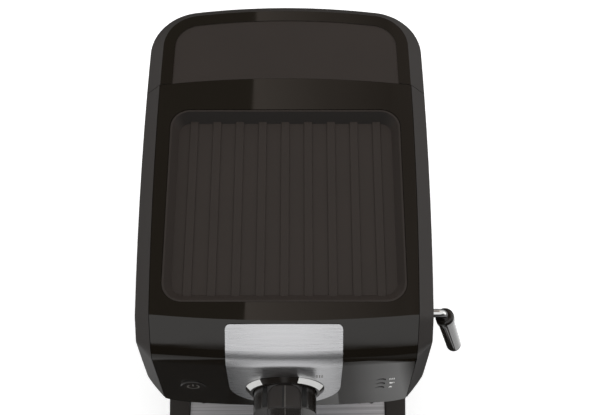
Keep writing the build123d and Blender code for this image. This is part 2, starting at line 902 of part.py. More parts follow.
def knuckles(start, web_y, web_z):
    """A pair of hinge knuckles with the webs that carry them."""
    with BuildPart() as pair:
        for side in (-1, 1):
            near = side * start
            far = side * (start + knuckle)
            with BuildSketch(Plane.YZ.offset(near)):
                with Locations((hinge_y, hinge_z)):
                    Circle(barrel_radius)
                with BuildLine():
                    Polyline(
                        (hinge_y - barrel_radius, hinge_z),
                        (web_y[0], web_z[0]),
                        (web_y[1], web_z[1]),
                        (hinge_y + (barrel_radius if web_z[1] > hinge_z else 0), hinge_z),
                        close=True,
                    )
                make_face()
            extrude(amount=far - near)
            with BuildSketch(Plane.YZ.offset(near)):
                with Locations((hinge_y, hinge_z)):
                    Circle(hinge_pin_radius + running_gap)
            extrude(amount=far - near, mode=Mode.SUBTRACT)
    return pair.part


tank_knuckles = knuckles(
    knuckle_x + knuckle + slide_gap,
    (tank_rear_y - tank_wall / 2, tank_rear_y - tank_wall / 2),
    (hinge_z, hinge_z - 3 * barrel_radius),
)
tank_depth = tank_rear_y - tank_front_y
tank_centre_y = (tank_rear_y + tank_front_y) / 2

with BuildPart() as water_tank:
    with BuildSketch(Plane.XY.offset(tank_floor_z)):
        with Locations((0, tank_centre_y)):
            RectangleRounded(2 * tank_half, tank_depth, tank_corner)
    extrude(amount=tank_top_z - tank_floor_z)
    add(tank_knuckles)
    with BuildSketch(Plane.XY.offset(tank_floor_z + tank_wall)):
        with Locations((0, tank_centre_y)):
            RectangleRounded(
                2 * (tank_half - tank_wall),
                tank_depth - 2 * tank_wall,
                tank_corner - tank_wall,
            )
    extrude(amount=tank_top_z, mode=Mode.SUBTRACT)
    with BuildSketch(Plane.XY.offset(tank_floor_z)):
        with Locations((0, valve_y)):
            Circle(valve_radius + seat)
    extrude(amount=tank_wall, mode=Mode.SUBTRACT)
finish(water_tank.part, "water_tank")

with BuildPart() as tank_valve:
    with BuildSketch(Plane.XY.offset(tank_floor_z)):
        with Locations((0, valve_y)):
            Circle(valve_radius)
    extrude(amount=valve_height)
    with BuildSketch(Plane.XY.offset(tank_floor_z + tank_wall + seat)):
        with Locations((0, valve_y)):
            Circle(valve_flange)
    extrude(amount=tank_wall)
    with BuildSketch(Plane.XY.offset(tank_floor_z)):
        with Locations((0, valve_y)):
            Circle(valve_bore)
    extrude(amount=spigot_height + slide_gap, mode=Mode.SUBTRACT)
    with BuildSketch(Plane.XY.offset(tank_floor_z)):
        with Locations((0, valve_y)):
            Circle(spigot_bore)
    extrude(amount=valve_height, mode=Mode.SUBTRACT)
finish(tank_valve.part, "tank_valve")

with BuildPart() as hinge_pins:
    for side in (-1, 1):
        with BuildSketch(Plane.YZ.offset(side * (knuckle_x + seat))):
            with Locations((hinge_y, hinge_z)):
                Circle(hinge_pin_radius)
        extrude(amount=side * (2 * knuckle + slide_gap - 2 * seat))
finish(hinge_pins.part, "hinge_pins")

# Lid over the tank: gloss rim with its own shoulder, a skirt, and a matte inset in its top
lid_side_hollow = prism(wall, 0, top_z - shoulder - wall)
lid_top_hollow = prism(shoulder + wall, 0, top_z - skin)
inset_prism = prism(shoulder + lid_rim, top_z - inset_drop - inset_thickness, top_z + spare)
pocket_prism = prism(
    shoulder + lid_rim - seat,
    top_z - inset_drop - inset_thickness - seat,
    top_z + spare,
)
inset_top = block(wide, deep, (0, top_z - inset_drop))
lid_knuckles = knuckles(
    knuckle_x,
    (hinge_y - barrel_radius, hinge_y + barrel_radius),
    (lid_z + 3 * wall, lid_z + 3 * wall),
)
with BuildPart() as lid_hollow:
    add(lid_side_hollow)
    add(lid_top_hollow)
    add(ahead_wall, mode=Mode.SUBTRACT)

with BuildPart() as tank_lid:
    add(outer_form)
    add(lid_zone.part, mode=Mode.INTERSECT)
    add(lid_hollow.part, mode=Mode.SUBTRACT)
    add(pocket_prism, mode=Mode.SUBTRACT)
    add(lid_knuckles)
finish(tank_lid.part, "tank_lid")

with BuildPart() as lid_inset:
    add(inset_prism)
    add(lid_zone.part, mode=Mode.INTERSECT)
    add(inset_top, mode=Mode.INTERSECT)
finish(lid_inset.part, "lid_inset")

# Brewing group: cast ring with a flange inside the head, a lug channel and two entries in its lip
group_seat = head_bottom + wall + seat
group_top = group_seat + group_flange_thickness
lip_height = 6.0
lip_top = group_low + lip_height
channel_gap = 0.6
channel_radius = lug_radius + slide_gap
lip_radius = filter_holder_radius + channel_gap
lug_low = lip_top + slide_gap
rim_step = 1.0
rim_z = lug_low + lug_thickness + rim_step
basket_rim = 1.2
gasket_low = rim_z + basket_rim + slide_gap
gasket_top = gasket_low + gasket_thickness
entry_spare = 8.0
entry_angle = lug_angle + entry_spare
screen_radius = 25.5
screen_thickness = 1.6
screen_screw_radius = 2.5
screen_screw_head = 5.0
screen_screw_height = 2.4
screen_screw_key = 1.8
screen_low = gasket_top - screen_thickness - seat
group_round = 1.5


def sectors(radius, angle, turn):
    """Two opposite sectors of a disc about the group's axis, as a flat outline."""
    reach = 2 * radius
    half = reach * tan(radians(angle / 2))
    leg = sqrt(reach**2 + half**2)
    with BuildSketch() as pair:
        with Locations((0, group_y)):
            with PolarLocations(0, 2, start_angle=turn):
                Triangle(a=2 * half, b=leg, c=leg, align=(Align.CENTER, Align.MAX), rotation=90)
            Circle(radius, mode=Mode.INTERSECT)
    return pair.sketch


entry_plan = sectors(channel_radius, entry_angle, -lock_turn)
lug_plan = sectors(lug_radius, lug_angle, 0)

with BuildPart() as group_head:
    with BuildSketch(Plane.XY.offset(group_low)):
        with Locations((0, group_y)):
            Circle(group_radius)
    extrude(amount=group_top - group_low)
    with BuildSketch(Plane.XY.offset(group_seat)):
        with Locations((0, group_y)):
            Circle(group_flange)
    extrude(amount=group_flange_thickness)
    with BuildSketch(Plane.XY.offset(group_low)):
        with Locations((0, group_y)):
            Circle(lip_radius)
    extrude(amount=gasket_top - group_low, mode=Mode.SUBTRACT)
    with BuildSketch(Plane.XY.offset(lip_top)):
        with Locations((0, group_y)):
            Circle(channel_radius)
    extrude(amount=gasket_top - lip_top, mode=Mode.SUBTRACT)
    with BuildSketch(Plane.XY.offset(group_low)):
        add(entry_plan)
    extrude(amount=lip_top - group_low, mode=Mode.SUBTRACT)
    with BuildSketch(Plane.XY.offset(gasket_top)):
        with Locations((0, group_y)):
            Circle(screen_screw_radius + running_gap)
    extrude(amount=group_top - gasket_top, mode=Mode.SUBTRACT)
    low_edges = group_head.edges().group_by(Axis.Z)[0].filter_by(GeomType.CIRCLE)
    fillet(low_edges.sort_by(SortBy.RADIUS)[-1], group_round)
finish(group_head.part, "group_head")

with BuildPart() as group_gasket:
    with BuildSketch(Plane.XY.offset(gasket_low)):
        with Locations((0, group_y)):
            Circle(channel_radius - slide_gap)
            Circle(screen_radius + slide_gap, mode=Mode.SUBTRACT)
    extrude(amount=gasket_thickness - seat)
finish(group_gasket.part, "group_gasket")

screen_hole = 0.9
screen_rings = ((8, 9.0), (14, 15.0), (20, 21.0))
with BuildPart() as shower_screen:
    with BuildSketch(Plane.XY.offset(screen_low)):
        with Locations((0, group_y)):
            Circle(screen_radius)
            Circle(screen_screw_radius + running_gap, mode=Mode.SUBTRACT)
            for count, ring in screen_rings:
                with PolarLocations(ring, count):
                    Circle(screen_hole, mode=Mode.SUBTRACT)
    extrude(amount=screen_thickness)
finish(shower_screen.part, "shower_screen")

with BuildPart() as screen_screw:
    with BuildSketch(Plane.XY.offset(screen_low - seat)):
        with Locations((0, group_y)):
            Circle(screen_screw_head)
            RegularPolygon(screen_screw_key, 6, mode=Mode.SUBTRACT)
    extrude(amount=-screen_screw_height)
    with BuildSketch(Plane.XY.offset(screen_low - seat)):
        with Locations((0, group_y)):
            Circle(screen_screw_head)
    extrude(amount=-screen_screw_height / 3)
    with BuildSketch(Plane.XY.offset(screen_low - seat)):
        with Locations((0, group_y)):
            Circle(screen_screw_radius)
    extrude(amount=group_top - screen_low)
finish(screen_screw.part, "screen_screw")

# Boiler in two cast halves, bolted through their flanges on top of the group
boiler_low = group_top + seat
joint_z = boiler_low + boiler_lower_height
upper_low = joint_z + boiler_gasket_thickness + 2 * seat
boiler_top = upper_low + boiler_upper_height
boiler_flange_thickness = 5.0
boiler_round = 6.0
bolt_circle = (boiler_radius + boiler_flange) / 2
bolt_radius = 2.0
bolt_head = 3.2
bolt_head_height = 2.5
bolt_clear = 0.15
inlet_z = upper_low + boiler_upper_height / 3
stub_reach = 12.0
boiler_back_y = group_y + boiler_radius

with BuildPart() as boiler_lower:
    with BuildSketch(Plane.XY.offset(boiler_low)):
        with Locations((0, group_y)):
            Circle(boiler_radius)
    extrude(amount=boiler_lower_height)
    with BuildSketch(Plane.XY.offset(joint_z - boiler_flange_thickness)):
        with Locations((0, group_y)):
            Circle(boiler_flange)
            with PolarLocations(bolt_circle, 4, start_angle=45):
                Circle(bolt_radius + bolt_clear, mode=Mode.SUBTRACT)
    extrude(amount=boiler_flange_thickness)
    with BuildSketch(Plane.XY.offset(boiler_low + boiler_wall)):
        with Locations((0, group_y)):
            Circle(boiler_radius - boiler_wall)
    extrude(amount=boiler_lower_height, mode=Mode.SUBTRACT)
    with BuildSketch(Plane.XY.offset(boiler_low)):
        with Locations((0, group_y)):
            Circle(screen_screw_radius + slide_gap)
    extrude(amount=boiler_wall, mode=Mode.SUBTRACT)
finish(boiler_lower.part, "boiler_lower")

with BuildPart() as boiler_gasket:
    with BuildSketch(Plane.XY.offset(joint_z + seat)):
        with Locations((0, group_y)):
            Circle(boiler_radius + slide_gap)
            Circle(boiler_radius - boiler_wall, mode=Mode.SUBTRACT)
    extrude(amount=boiler_gasket_thickness)
finish(boiler_gasket.part, "boiler_gasket")

with BuildPart() as boiler_upper:
    with BuildSketch(Plane.XY.offset(upper_low)):
        with Locations((0, group_y)):
            Circle(boiler_radius)
    extrude(amount=boiler_upper_height)
    fillet(boiler_upper.edges().group_by(Axis.Z)[-1], boiler_round)
    with BuildSketch(Plane.XY.offset(upper_low)):
        with Locations((0, group_y)):
            Circle(boiler_flange)
            with PolarLocations(bolt_circle, 4, start_angle=45):
                Circle(bolt_radius + bolt_clear, mode=Mode.SUBTRACT)
    extrude(amount=boiler_flange_thickness)
    with BuildSketch(Plane.XZ.offset(-group_y)):
        with Locations((0, inlet_z)):
            Circle(hose_bore - running_gap)
    extrude(amount=-boiler_radius - stub_reach)
    with BuildSketch(Plane.XY.offset(upper_low)):
        with Locations((0, group_y)):
            Circle(boiler_radius - boiler_wall)
    extrude(amount=boiler_upper_height - boiler_wall, mode=Mode.SUBTRACT)
    with BuildSketch(Plane.XZ.offset(-group_y)):
        with Locations((0, inlet_z)):
            Circle(hose_bore / 2)
    extrude(amount=-boiler_radius - stub_reach, mode=Mode.SUBTRACT)
finish(boiler_upper.part, "boiler_upper")

bolt_top = upper_low + boiler_flange_thickness + seat
bolt_end = joint_z - boiler_flange_thickness - seat
with BuildPart() as boiler_bolts:
    for low, high, radius in (
        (bolt_top, bolt_top + bolt_head_height, bolt_head),
        (bolt_end - bolt_head_height, bolt_top, bolt_radius),
        (bolt_end - bolt_head_height, bolt_end, bolt_head),
    ):
        with BuildSketch(Plane.XY.offset(low)):
            with Locations((0, group_y)):
                with PolarLocations(bolt_circle, 4, start_angle=45):
                    if radius == bolt_head:
                        RegularPolygon(radius, 6)
                    else:
                        Circle(radius)
        extrude(amount=high - low)
finish(boiler_bolts.part, "boiler_bolts")

# Two snap-action thermostats with blade terminals on the boiler's crown
thermostat_x = 13.0
thermostat_radius = 8.0
thermostat_height = 7.0
with BuildPart() as thermostats:
    with BuildSketch(Plane.XY.offset(boiler_top + seat)):
        with Locations((-thermostat_x, group_y), (thermostat_x, group_y)):
            Circle(thermostat_radius)
    extrude(amount=thermostat_height)
    with BuildSketch(Plane.XY.offset(boiler_top + seat + thermostat_height)):
        with Locations((-thermostat_x, group_y), (thermostat_x, group_y)):
            with GridLocations(0, thermostat_radius, 1, 2):
                Rectangle(blade_width, blade)
    extrude(amount=blade_length)
finish(thermostats.part, "thermostats")

# Control valve behind the knob, screwed to the back of the panel
valve_face_y = front_y + skin + slide_gap / 2
valve_back_y = valve_face_y + valve_depth
valve_body_radius = 8.0
valve_plate = 2.0
pipe_radius = 2.5
pipe_bore = 1.5
port_radius = 4.0
port_height = 4.0
port_y = valve_back_y - 6.0
port_top = dial_z + valve_body_radius + port_height

with BuildPart() as control_valve:
    with BuildSketch(Plane.XZ.offset(-valve_face_y)):
        with Locations((0, dial_z)):
            Rectangle(4 * valve_body_radius, 2.4 * valve_body_radius)
    extrude(amount=-valve_plate)
    with BuildSketch(Plane.XZ.offset(-valve_face_y)):
        with Locations((0, dial_z)):
            Circle(valve_body_radius)
    extrude(amount=-valve_depth)
    with BuildSketch(Plane.XY.offset(dial_z)):
        with Locations((0, port_y)):
            Circle(port_radius)
    extrude(amount=valve_body_radius + port_height)
    with BuildSketch(Plane.XZ.offset(-valve_face_y)):
        with Locations((0, dial_z)):
            Circle(shaft_radius + running_gap)
    extrude(amount=-(shaft_back_y - valve_face_y) - seam, mode=Mode.SUBTRACT)
finish(control_valve.part, "control_valve")

# Filter holder: metal cup with two lugs, loose filter basket, twin spout and a moulded handle
holder_wall = 3.5
holder_sump = 8.0
holder_low = rim_z - basket_depth - holder_sump
basket_radius = filter_holder_radius - holder_wall - slide_gap
basket_wall = 1.0
basket_round = 2.5
basket_low = rim_z - basket_depth
basket_hole = 1.0
basket_rings = ((1, 0.0), (6, 6.0), (12, 12.0), (18, 18.0))
outlet_radius = 4.0
neck_radius = 6.0
neck_length = 14.0
neck_end_y = group_y - filter_holder_radius - neck_length
handle_bolt_radius = 4.0
handle_bolt_length = 40.0
handle_end_y = neck_end_y - handle_length
spout_height = 20.0
spout_span = 24.0
spout_tube = 6.0
spout_bore = 4.0
spout_edge = 1.0
spout_roof = 2.5
spout_top = holder_low - seat

with BuildPart() as filter_holder:
    with BuildSketch(Plane.XY.offset(holder_low)):
        with Locations((0, group_y)):
            Circle(filter_holder_radius)
    extrude(amount=rim_z - holder_low)
    fillet(filter_holder.edges().group_by(Axis.Z)[0], holder_wall)
    with BuildSketch(Plane.XY.offset(lug_low)):
        add(lug_plan)
    extrude(amount=lug_thickness)
    with BuildSketch(Plane.XZ.offset(-group_y)):
        with Locations((0, handle_z)):
            Circle(neck_radius)
    extrude(amount=group_y - neck_end_y)
    with BuildSketch(Plane.XY.offset(holder_low + holder_wall)):
        with Locations((0, group_y)):
            Circle(filter_holder_radius - holder_wall)
    extrude(amount=rim_z, mode=Mode.SUBTRACT)
    with BuildSketch(Plane.XY.offset(holder_low)):
        with Locations((0, group_y)):
            Circle(outlet_radius)
    extrude(amount=holder_wall, mode=Mode.SUBTRACT)
    with BuildSketch(Plane.XZ.offset(-neck_end_y)):
        with Locations((0, handle_z)):
            Circle(handle_bolt_radius + running_gap)
    extrude(amount=-neck_length, mode=Mode.SUBTRACT)
finish(filter_holder.part, "filter_holder")

with BuildPart() as filter_basket:
    with BuildSketch(Plane.XY.offset(basket_low)):
        with Locations((0, group_y)):
            Circle(basket_radius)
    extrude(amount=basket_depth)
    fillet(filter_basket.edges().group_by(Axis.Z)[0], basket_round)
    with BuildSketch(Plane.XY.offset(rim_z + seat)):
        with Locations((0, group_y)):
            Circle(filter_holder_radius - slide_gap)
    extrude(amount=basket_rim - seat)
    with BuildSketch(Plane.XY.offset(rim_z)):
        with Locations((0, group_y)):
            Circle(basket_radius)
    extrude(amount=basket_rim)
    with BuildSketch(Plane.XY.offset(basket_low + basket_wall)):
        with Locations((0, group_y)):
            Circle(basket_radius - basket_wall)
    extrude(amount=basket_depth + basket_rim, mode=Mode.SUBTRACT)
    with BuildSketch(Plane.XY.offset(basket_low)):
        with Locations((0, group_y)):
            for count, ring in basket_rings:
                with PolarLocations(ring, count):
                    Circle(basket_hole)
    extrude(amount=basket_wall, mode=Mode.SUBTRACT)
finish(filter_basket.part, "filter_basket")

with BuildPart() as coffee_spout:
    with BuildSketch(Plane.XY.offset(spout_top)):
        with Locations((0, group_y)):
            SlotCenterToCenter(spout_span, 2 * spout_tube)
    extrude(amount=-spout_height / 2)
    fillet(coffee_spout.edges().group_by(Axis.Z)[-1], spout_edge)
    with BuildSketch(Plane.XY.offset(spout_top - spout_height / 2)):
        with Locations((-spout_span / 2, group_y), (spout_span / 2, group_y)):
            Circle(spout_tube)
    extrude(amount=-spout_height / 2)
    with BuildSketch(Plane.XY.offset(spout_top - spout_height)):
        with Locations((-spout_span / 2, group_y), (spout_span / 2, group_y)):
            Circle(spout_bore)
    extrude(amount=spout_height - spout_roof, mode=Mode.SUBTRACT)
    with BuildSketch(Plane.XY.offset(spout_top - spout_height / 2 + spout_tube - spout_bore)):
        with Locations((0, group_y)):
            SlotCenterToCenter(spout_span, 2 * spout_bore)
    extrude(amount=spout_height / 2 - spout_tube + spout_bore - spout_roof, mode=Mode.SUBTRACT)
    with BuildSketch(Plane.XY.offset(spout_top)):
        with Locations((0, group_y)):
            Circle(outlet_radius)
    extrude(amount=-spout_height / 4, mode=Mode.SUBTRACT)
finish(coffee_spout.part, "coffee_spout")

handle_start_y = neck_end_y - seat
handle_collar = neck_radius + 3.0
handle_flat = 4.0
with BuildPart() as holder_handle:
    with BuildSketch(Plane.YZ):
        with BuildLine():
            Polyline(
                (handle_end_y, handle_z + handle_flat),
                (handle_end_y, handle_z),
                (handle_start_y, handle_z),
                (handle_start_y, handle_z + handle_collar),
            )
            Spline(
                (handle_start_y, handle_z + handle_collar),
                (handle_start_y - 0.3 * handle_length, handle_z + 0.75 * handle_radius),
                (handle_start_y - 0.75 * handle_length, handle_z + handle_radius),
                (handle_end_y, handle_z + handle_flat),
                tangents=((-1, 0), (0, -1)),
            )
        make_face()
    revolve(axis=Axis((0, 0, handle_z), (0, 1, 0)))
    with BuildSketch(Plane.XZ.offset(-handle_start_y)):
        with Locations((0, handle_z)):
            Circle(handle_bolt_radius + running_gap)
    extrude(amount=handle_bolt_length, mode=Mode.SUBTRACT)
finish(holder_handle.part, "holder_handle")

bolt_start_y = neck_end_y + neck_length - 1.0
bolt_end_y = handle_start_y - handle_bolt_length + 1.0
finish(rod(handle_bolt_radius, 0, handle_z, bolt_start_y, bolt_end_y), "handle_bolt")

# Vibration pump in two rubber cradles on the base floor
pump_front_y = column_y + wall + 30.0
pump_length = 54.0
pump_back_y = pump_front_y + pump_length
pump_stub = 12.0
coil_width = 42.0
coil_length = 22.0
coil_corner = 3.0
cradle_length = 8.0
cradle_half = pump_radius + 5.0
cradle_ys = (pump_front_y + cradle_length, pump_back_y - cradle_length)
pump_centre_y = (pump_front_y + pump_back_y) / 2

with BuildPart() as pump:
    add(rod(pump_radius, 0, pump_z, pump_back_y, pump_front_y))
    with BuildSketch(Plane.XZ.offset(-pump_centre_y + coil_length / 2)):
        with Locations((0, pump_z)):
            RectangleRounded(coil_width, coil_width, coil_corner)
    extrude(amount=-coil_length)
    add(rod(hose_bore - running_gap, 0, pump_z, pump_back_y + pump_stub, pump_front_y - pump_stub))
finish(pump.part, "pump")

with BuildPart() as pump_cradles:
    for y in cradle_ys:
        with BuildSketch(Plane.XZ.offset(cradle_length / 2 - y)):
            with Locations((0, floor_top + seat)):
                Rectangle(2 * cradle_half, pump_z - floor_top - seat, align=(Align.CENTER, Align.MIN))
            with Locations((0, pump_z)):
                Circle(pump_radius + seat, mode=Mode.SUBTRACT)
        extrude(amount=-cradle_length)
finish(pump_cradles.part, "pump_cradles")


def hose(points, radius, bore, bends):
    """A tube along straight runs joined by round bends."""
    with BuildPart() as tube:
        with BuildLine():
            FilletPolyline(*points, radius=bends)
        direction = Vector(points[1]) - Vector(points[0])
        with BuildSketch(Plane(origin=points[0], z_dir=direction)):
            Circle(radius)
            Circle(bore, mode=Mode.SUBTRACT)
        sweep()
    return tube.part


hose_bend = 14.0
suction_points = (
    (0, valve_y, dock_z - seat),
    (0, valve_y, pump_z),
    (0, pump_back_y + seat, pump_z),
)
riser_y = column_y + wall + hose_radius + 3.0
pressure_points = (
    (0, pump_front_y - seat, pump_z),
    (0, riser_y, pump_z),
    (0, riser_y, inlet_z),
    (0, boiler_back_y + seat, inlet_z),
)
finish(hose(suction_points, hose_radius, hose_bore, hose_bend), "suction_hose")
finish(hose(pressure_points, hose_radius, hose_bore, hose_bend / 2), "pressure_hose")

# Steam wand: bush in the side cover, bent tube that turns in it, collar, tip and frothing sleeve
bush_flange = 11.0
bush_flange_thickness = 3.0
bush_face_x = side_at(wand_y + bush_flange) + seat
bush_depth = 14.0
bush_edge = 1.2
bush_inner_x = bush_face_x - bush_depth
tube_start_x = bush_inner_x + bush_depth / 3
pipe_end_x = tube_start_x - seat
lean = radians(wand_lean)
wand_axis = Vector(sin(lean), 0, -cos(lean))
bend_point = Vector(wand_bend_x, wand_y, wand_z)
tube_end_margin = 14.0
tube_length = sleeve_start + sleeve_length - tube_end_margin
tip_length = 6.0
tip_bore = 0.8
tip_bevel = 1.2


def along_wand(distance):
    """A plane square to the wand's leg, at a distance from its bend."""
    return Plane(origin=bend_point + wand_axis * distance, x_dir=(0, 1, 0), z_dir=wand_axis)


with BuildPart() as wand_bush:
    with BuildSketch(Plane.YZ.offset(bush_face_x)):
        with Locations((wand_y, wand_z)):
            Circle(bush_flange)
    extrude(amount=bush_flange_thickness)
    fillet(wand_bush.faces().sort_by(Axis.X)[-1].edges(), bush_edge)
    with BuildSketch(Plane.YZ.offset(bush_inner_x)):
        with Locations((wand_y, wand_z)):
            Circle(gland_radius)
    extrude(amount=bush_depth)
    with BuildSketch(Plane.YZ.offset(bush_inner_x)):
        with Locations((wand_y, wand_z)):
            Circle(wand_radius + running_gap)
    extrude(amount=bush_depth + bush_flange_thickness, mode=Mode.SUBTRACT)
finish(wand_bush.part, "wand_bush")

wand_points = (
    (tube_start_x, wand_y, wand_z),
    tuple(bend_point),
    tuple(bend_point + wand_axis * tube_length),
)
wand_bend = 4.5
finish(hose(wand_points, wand_radius, wand_radius / 2, wand_bend), "steam_tube")

with BuildPart() as steam_tip:
    with BuildSketch(along_wand(tube_length + seat)):
        Circle(wand_radius)
        Circle(tip_bore, mode=Mode.SUBTRACT)
    extrude(amount=tip_length)
    chamfer(steam_tip.faces().sort_by(Axis.Z)[0].outer_wire().edges(), tip_bevel)
finish(steam_tip.part, "steam_tip")

grip_length = 14.0
sleeve_bore = 4.2
sleeve_edge = 0.8
cap_length = 8.0
cap_round = 2.6
with BuildPart() as sleeve_cap:
    with BuildSketch(along_wand(sleeve_start)):
        Circle(sleeve_cap_radius)
    extrude(amount=cap_length)
    fillet(sleeve_cap.edges().sort_by(Axis.Z)[-1], cap_round)
    fillet(sleeve_cap.edges().sort_by(Axis.Z)[0], sleeve_edge / 2)

with BuildPart() as froth_sleeve:
    with BuildSketch(along_wand(sleeve_start + cap_length / 2)):
        Circle(sleeve_top_radius)
    with BuildSketch(along_wand(sleeve_start + sleeve_length)):
        Circle(sleeve_tip_radius)
    loft()
    fillet(froth_sleeve.edges().sort_by(Axis.Z)[0], sleeve_edge)
    add(sleeve_cap.part)
    with BuildSketch(along_wand(sleeve_start)):
        Circle(wand_radius + running_gap)
    extrude(amount=sleeve_length, mode=Mode.SUBTRACT)
    with BuildSketch(along_wand(sleeve_start + grip_length)):
        Circle(sleeve_bore)
    extrude(amount=sleeve_length, mode=Mode.SUBTRACT)
finish(froth_sleeve.part, "froth_sleeve")

pipe_rise = 17.0
pipe_rise_z = port_top + pipe_rise
pipe_bend = 6.0
pipe_turn_x = 0.62 * half_width
pipe_points = (
    (0, port_y, port_top + seat),
    (0, port_y, pipe_rise_z),
    (pipe_turn_x, port_y, pipe_rise_z),
    (pipe_end_x - 2 * pipe_bend, wand_y, wand_z),
    (pipe_end_x, wand_y, wand_z),
)
finish(hose(pipe_points, pipe_radius, pipe_bore, pipe_bend), "steam_pipe")

# Bush in the back for the mains lead
lead_radius = 3.6
lead_bush_flange = 10.0
lead_bush_thickness = 3.0
lead_bush_depth = 9.0
lead_bush_edge = 1.0
with BuildPart() as lead_bush:
    with BuildSketch(Plane.XZ.offset(-rear_y - seat)):
        with Locations((0, gland_z)):
            Circle(lead_bush_flange)
    extrude(amount=-lead_bush_thickness)
    fillet(lead_bush.faces().sort_by(Axis.Y)[-1].edges(), lead_bush_edge)
    with BuildSketch(Plane.XZ.offset(-rear_y - seat)):
        with Locations((0, gland_z)):
            Circle(cord_hole_radius)
    extrude(amount=lead_bush_depth)
    with BuildSketch(Plane.XZ.offset(-rear_y - seat - lead_bush_thickness)):
        with Locations((0, gland_z)):
            Circle(lead_radius)
    extrude(amount=lead_bush_depth + lead_bush_thickness, mode=Mode.SUBTRACT)
finish(lead_bush.part, "lead_bush")
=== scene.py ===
"""Compact pump espresso machine: finishes, printed marks, small fittings and the studio around it."""

import bpy
from math import cos, pi, radians, sin, sqrt
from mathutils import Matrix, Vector


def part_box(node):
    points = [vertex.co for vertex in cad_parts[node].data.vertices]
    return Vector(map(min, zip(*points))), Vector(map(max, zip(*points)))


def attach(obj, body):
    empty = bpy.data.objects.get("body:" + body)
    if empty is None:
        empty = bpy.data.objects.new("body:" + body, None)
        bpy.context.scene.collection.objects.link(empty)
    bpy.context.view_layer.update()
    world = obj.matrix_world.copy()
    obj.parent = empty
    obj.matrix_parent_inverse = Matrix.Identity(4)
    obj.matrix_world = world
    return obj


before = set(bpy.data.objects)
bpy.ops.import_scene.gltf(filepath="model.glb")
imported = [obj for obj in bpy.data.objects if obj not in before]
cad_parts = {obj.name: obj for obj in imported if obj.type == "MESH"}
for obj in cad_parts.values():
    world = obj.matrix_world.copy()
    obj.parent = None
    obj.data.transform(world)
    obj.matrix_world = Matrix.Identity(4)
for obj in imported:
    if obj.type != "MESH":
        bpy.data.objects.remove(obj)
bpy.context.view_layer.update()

# Base pan, side and rear covers, column front, underside and drip tray
# Injection-moulded ABS from a spark-eroded tool, which leaves a fine even grain on a satin black skin.
# The covers clip to the base pan and to each other, and the drip tray slides out between its flanks.


def colour(code):
    """An sRGB hex colour as linear values."""
    parts = [int(code[i : i + 2], 16) / 255 for i in (1, 3, 5)]
    return [p / 12.92 if p <= 0.04045 else ((p + 0.055) / 1.055) ** 2.4 for p in parts] + [1.0]


def place(tree, kind, inputs=None, **settings):
    """Add one node with its settings, values and incoming links."""
    new = tree.nodes.new(kind)
    for name, value in settings.items():
        setattr(new, name, value)
    for name, value in (inputs or {}).items():
        if isinstance(value, bpy.types.NodeSocket):
            tree.links.new(value, new.inputs[name])
        else:
            new.inputs[name].default_value = value
    return new


def new_material(name):
    """An empty material with its node tree."""
    material = bpy.data.materials.new(name)
    material.use_nodes = True
    material.node_tree.nodes.clear()
    return material, material.node_tree


def dress(material, *nodes):
    """Give CAD nodes one material all over."""
    for name in nodes:
        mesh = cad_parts[name].data
        mesh.materials.clear()
        mesh.materials.append(material)
        for face in mesh.polygons:
            face.material_index = 0


MM = 0.001

# Satin ABS: a soft grey sheen that drifts a little over the length of a cover.
# The grain is 0.3 mm on the tool and is drawn at 0.8 mm so that it shows; the sheen drifts over 70 mm.
satin_abs, tree = new_material("Satin moulded ABS")
position = place(tree, "ShaderNodeTexCoord").outputs["Object"]
grain = place(tree, "ShaderNodeTexNoise", {"Vector": position, "Scale": 1 / (0.8 * MM), "Detail": 2.0})
drift = place(tree, "ShaderNodeTexNoise", {"Vector": position, "Scale": 1 / (70 * MM), "Detail": 3.0})
tone = place(tree, "ShaderNodeValToRGB", {"Fac": drift.outputs["Fac"]})
tone.color_ramp.elements[0].color = colour("#2b2725")
tone.color_ramp.elements[1].color = colour("#312d2a")
sheen = place(tree, "ShaderNodeMapRange", {"Value": drift.outputs["Fac"], "To Min": 0.40, "To Max": 0.50})
pits = place(
    tree,
    "ShaderNodeBump",
    {"Height": grain.outputs["Fac"], "Strength": 0.10, "Distance": 0.05 * MM},
)
skin = place(
    tree,
    "ShaderNodeBsdfPrincipled",
    {
        "Base Color": tone.outputs["Color"],
        "Roughness": sheen.outputs["Result"],
        "Normal": pits.outputs["Normal"],
        "IOR": 1.5,
        "Specular IOR Level": 0.3,
    },
)
place(tree, "ShaderNodeOutputMaterial", {"Surface": skin.outputs["BSDF"]})
dress(
    satin_abs,
    "base_pan",
    "left_side_cover",
    "right_side_cover",
    "rear_cover",
    "column_front",
    "head_underside",
    "drip_tray",
)

# Feet, group seal, pump cradles and the mains lead's bush
# Black rubber, moulded and then plugged or pressed into the plastic, dull with a slight bloom.
# The bloom comes in patches some 6 mm across.
black_rubber, tree = new_material("Moulded rubber")
position = place(tree, "ShaderNodeTexCoord").outputs["Object"]
bloom = place(tree, "ShaderNodeTexNoise", {"Vector": position, "Scale": 1 / (6 * MM), "Detail": 4.0})
tone = place(tree, "ShaderNodeValToRGB", {"Fac": bloom.outputs["Fac"]})
tone.color_ramp.elements[0].color = colour("#141414")
tone.color_ramp.elements[1].color = colour("#242322")
bumps = place(
    tree,
    "ShaderNodeBump",
    {"Height": bloom.outputs["Fac"], "Strength": 0.15, "Distance": 0.1 * MM},
)
skin = place(
    tree,
    "ShaderNodeBsdfPrincipled",
    {"Base Color": tone.outputs["Color"], "Roughness": 0.78, "Normal": bumps.outputs["Normal"], "IOR": 1.5},
)
place(tree, "ShaderNodeOutputMaterial", {"Surface": skin.outputs["BSDF"]})
dress(black_rubber, "rubber_feet", "group_gasket", "pump_cradles", "lead_bush")

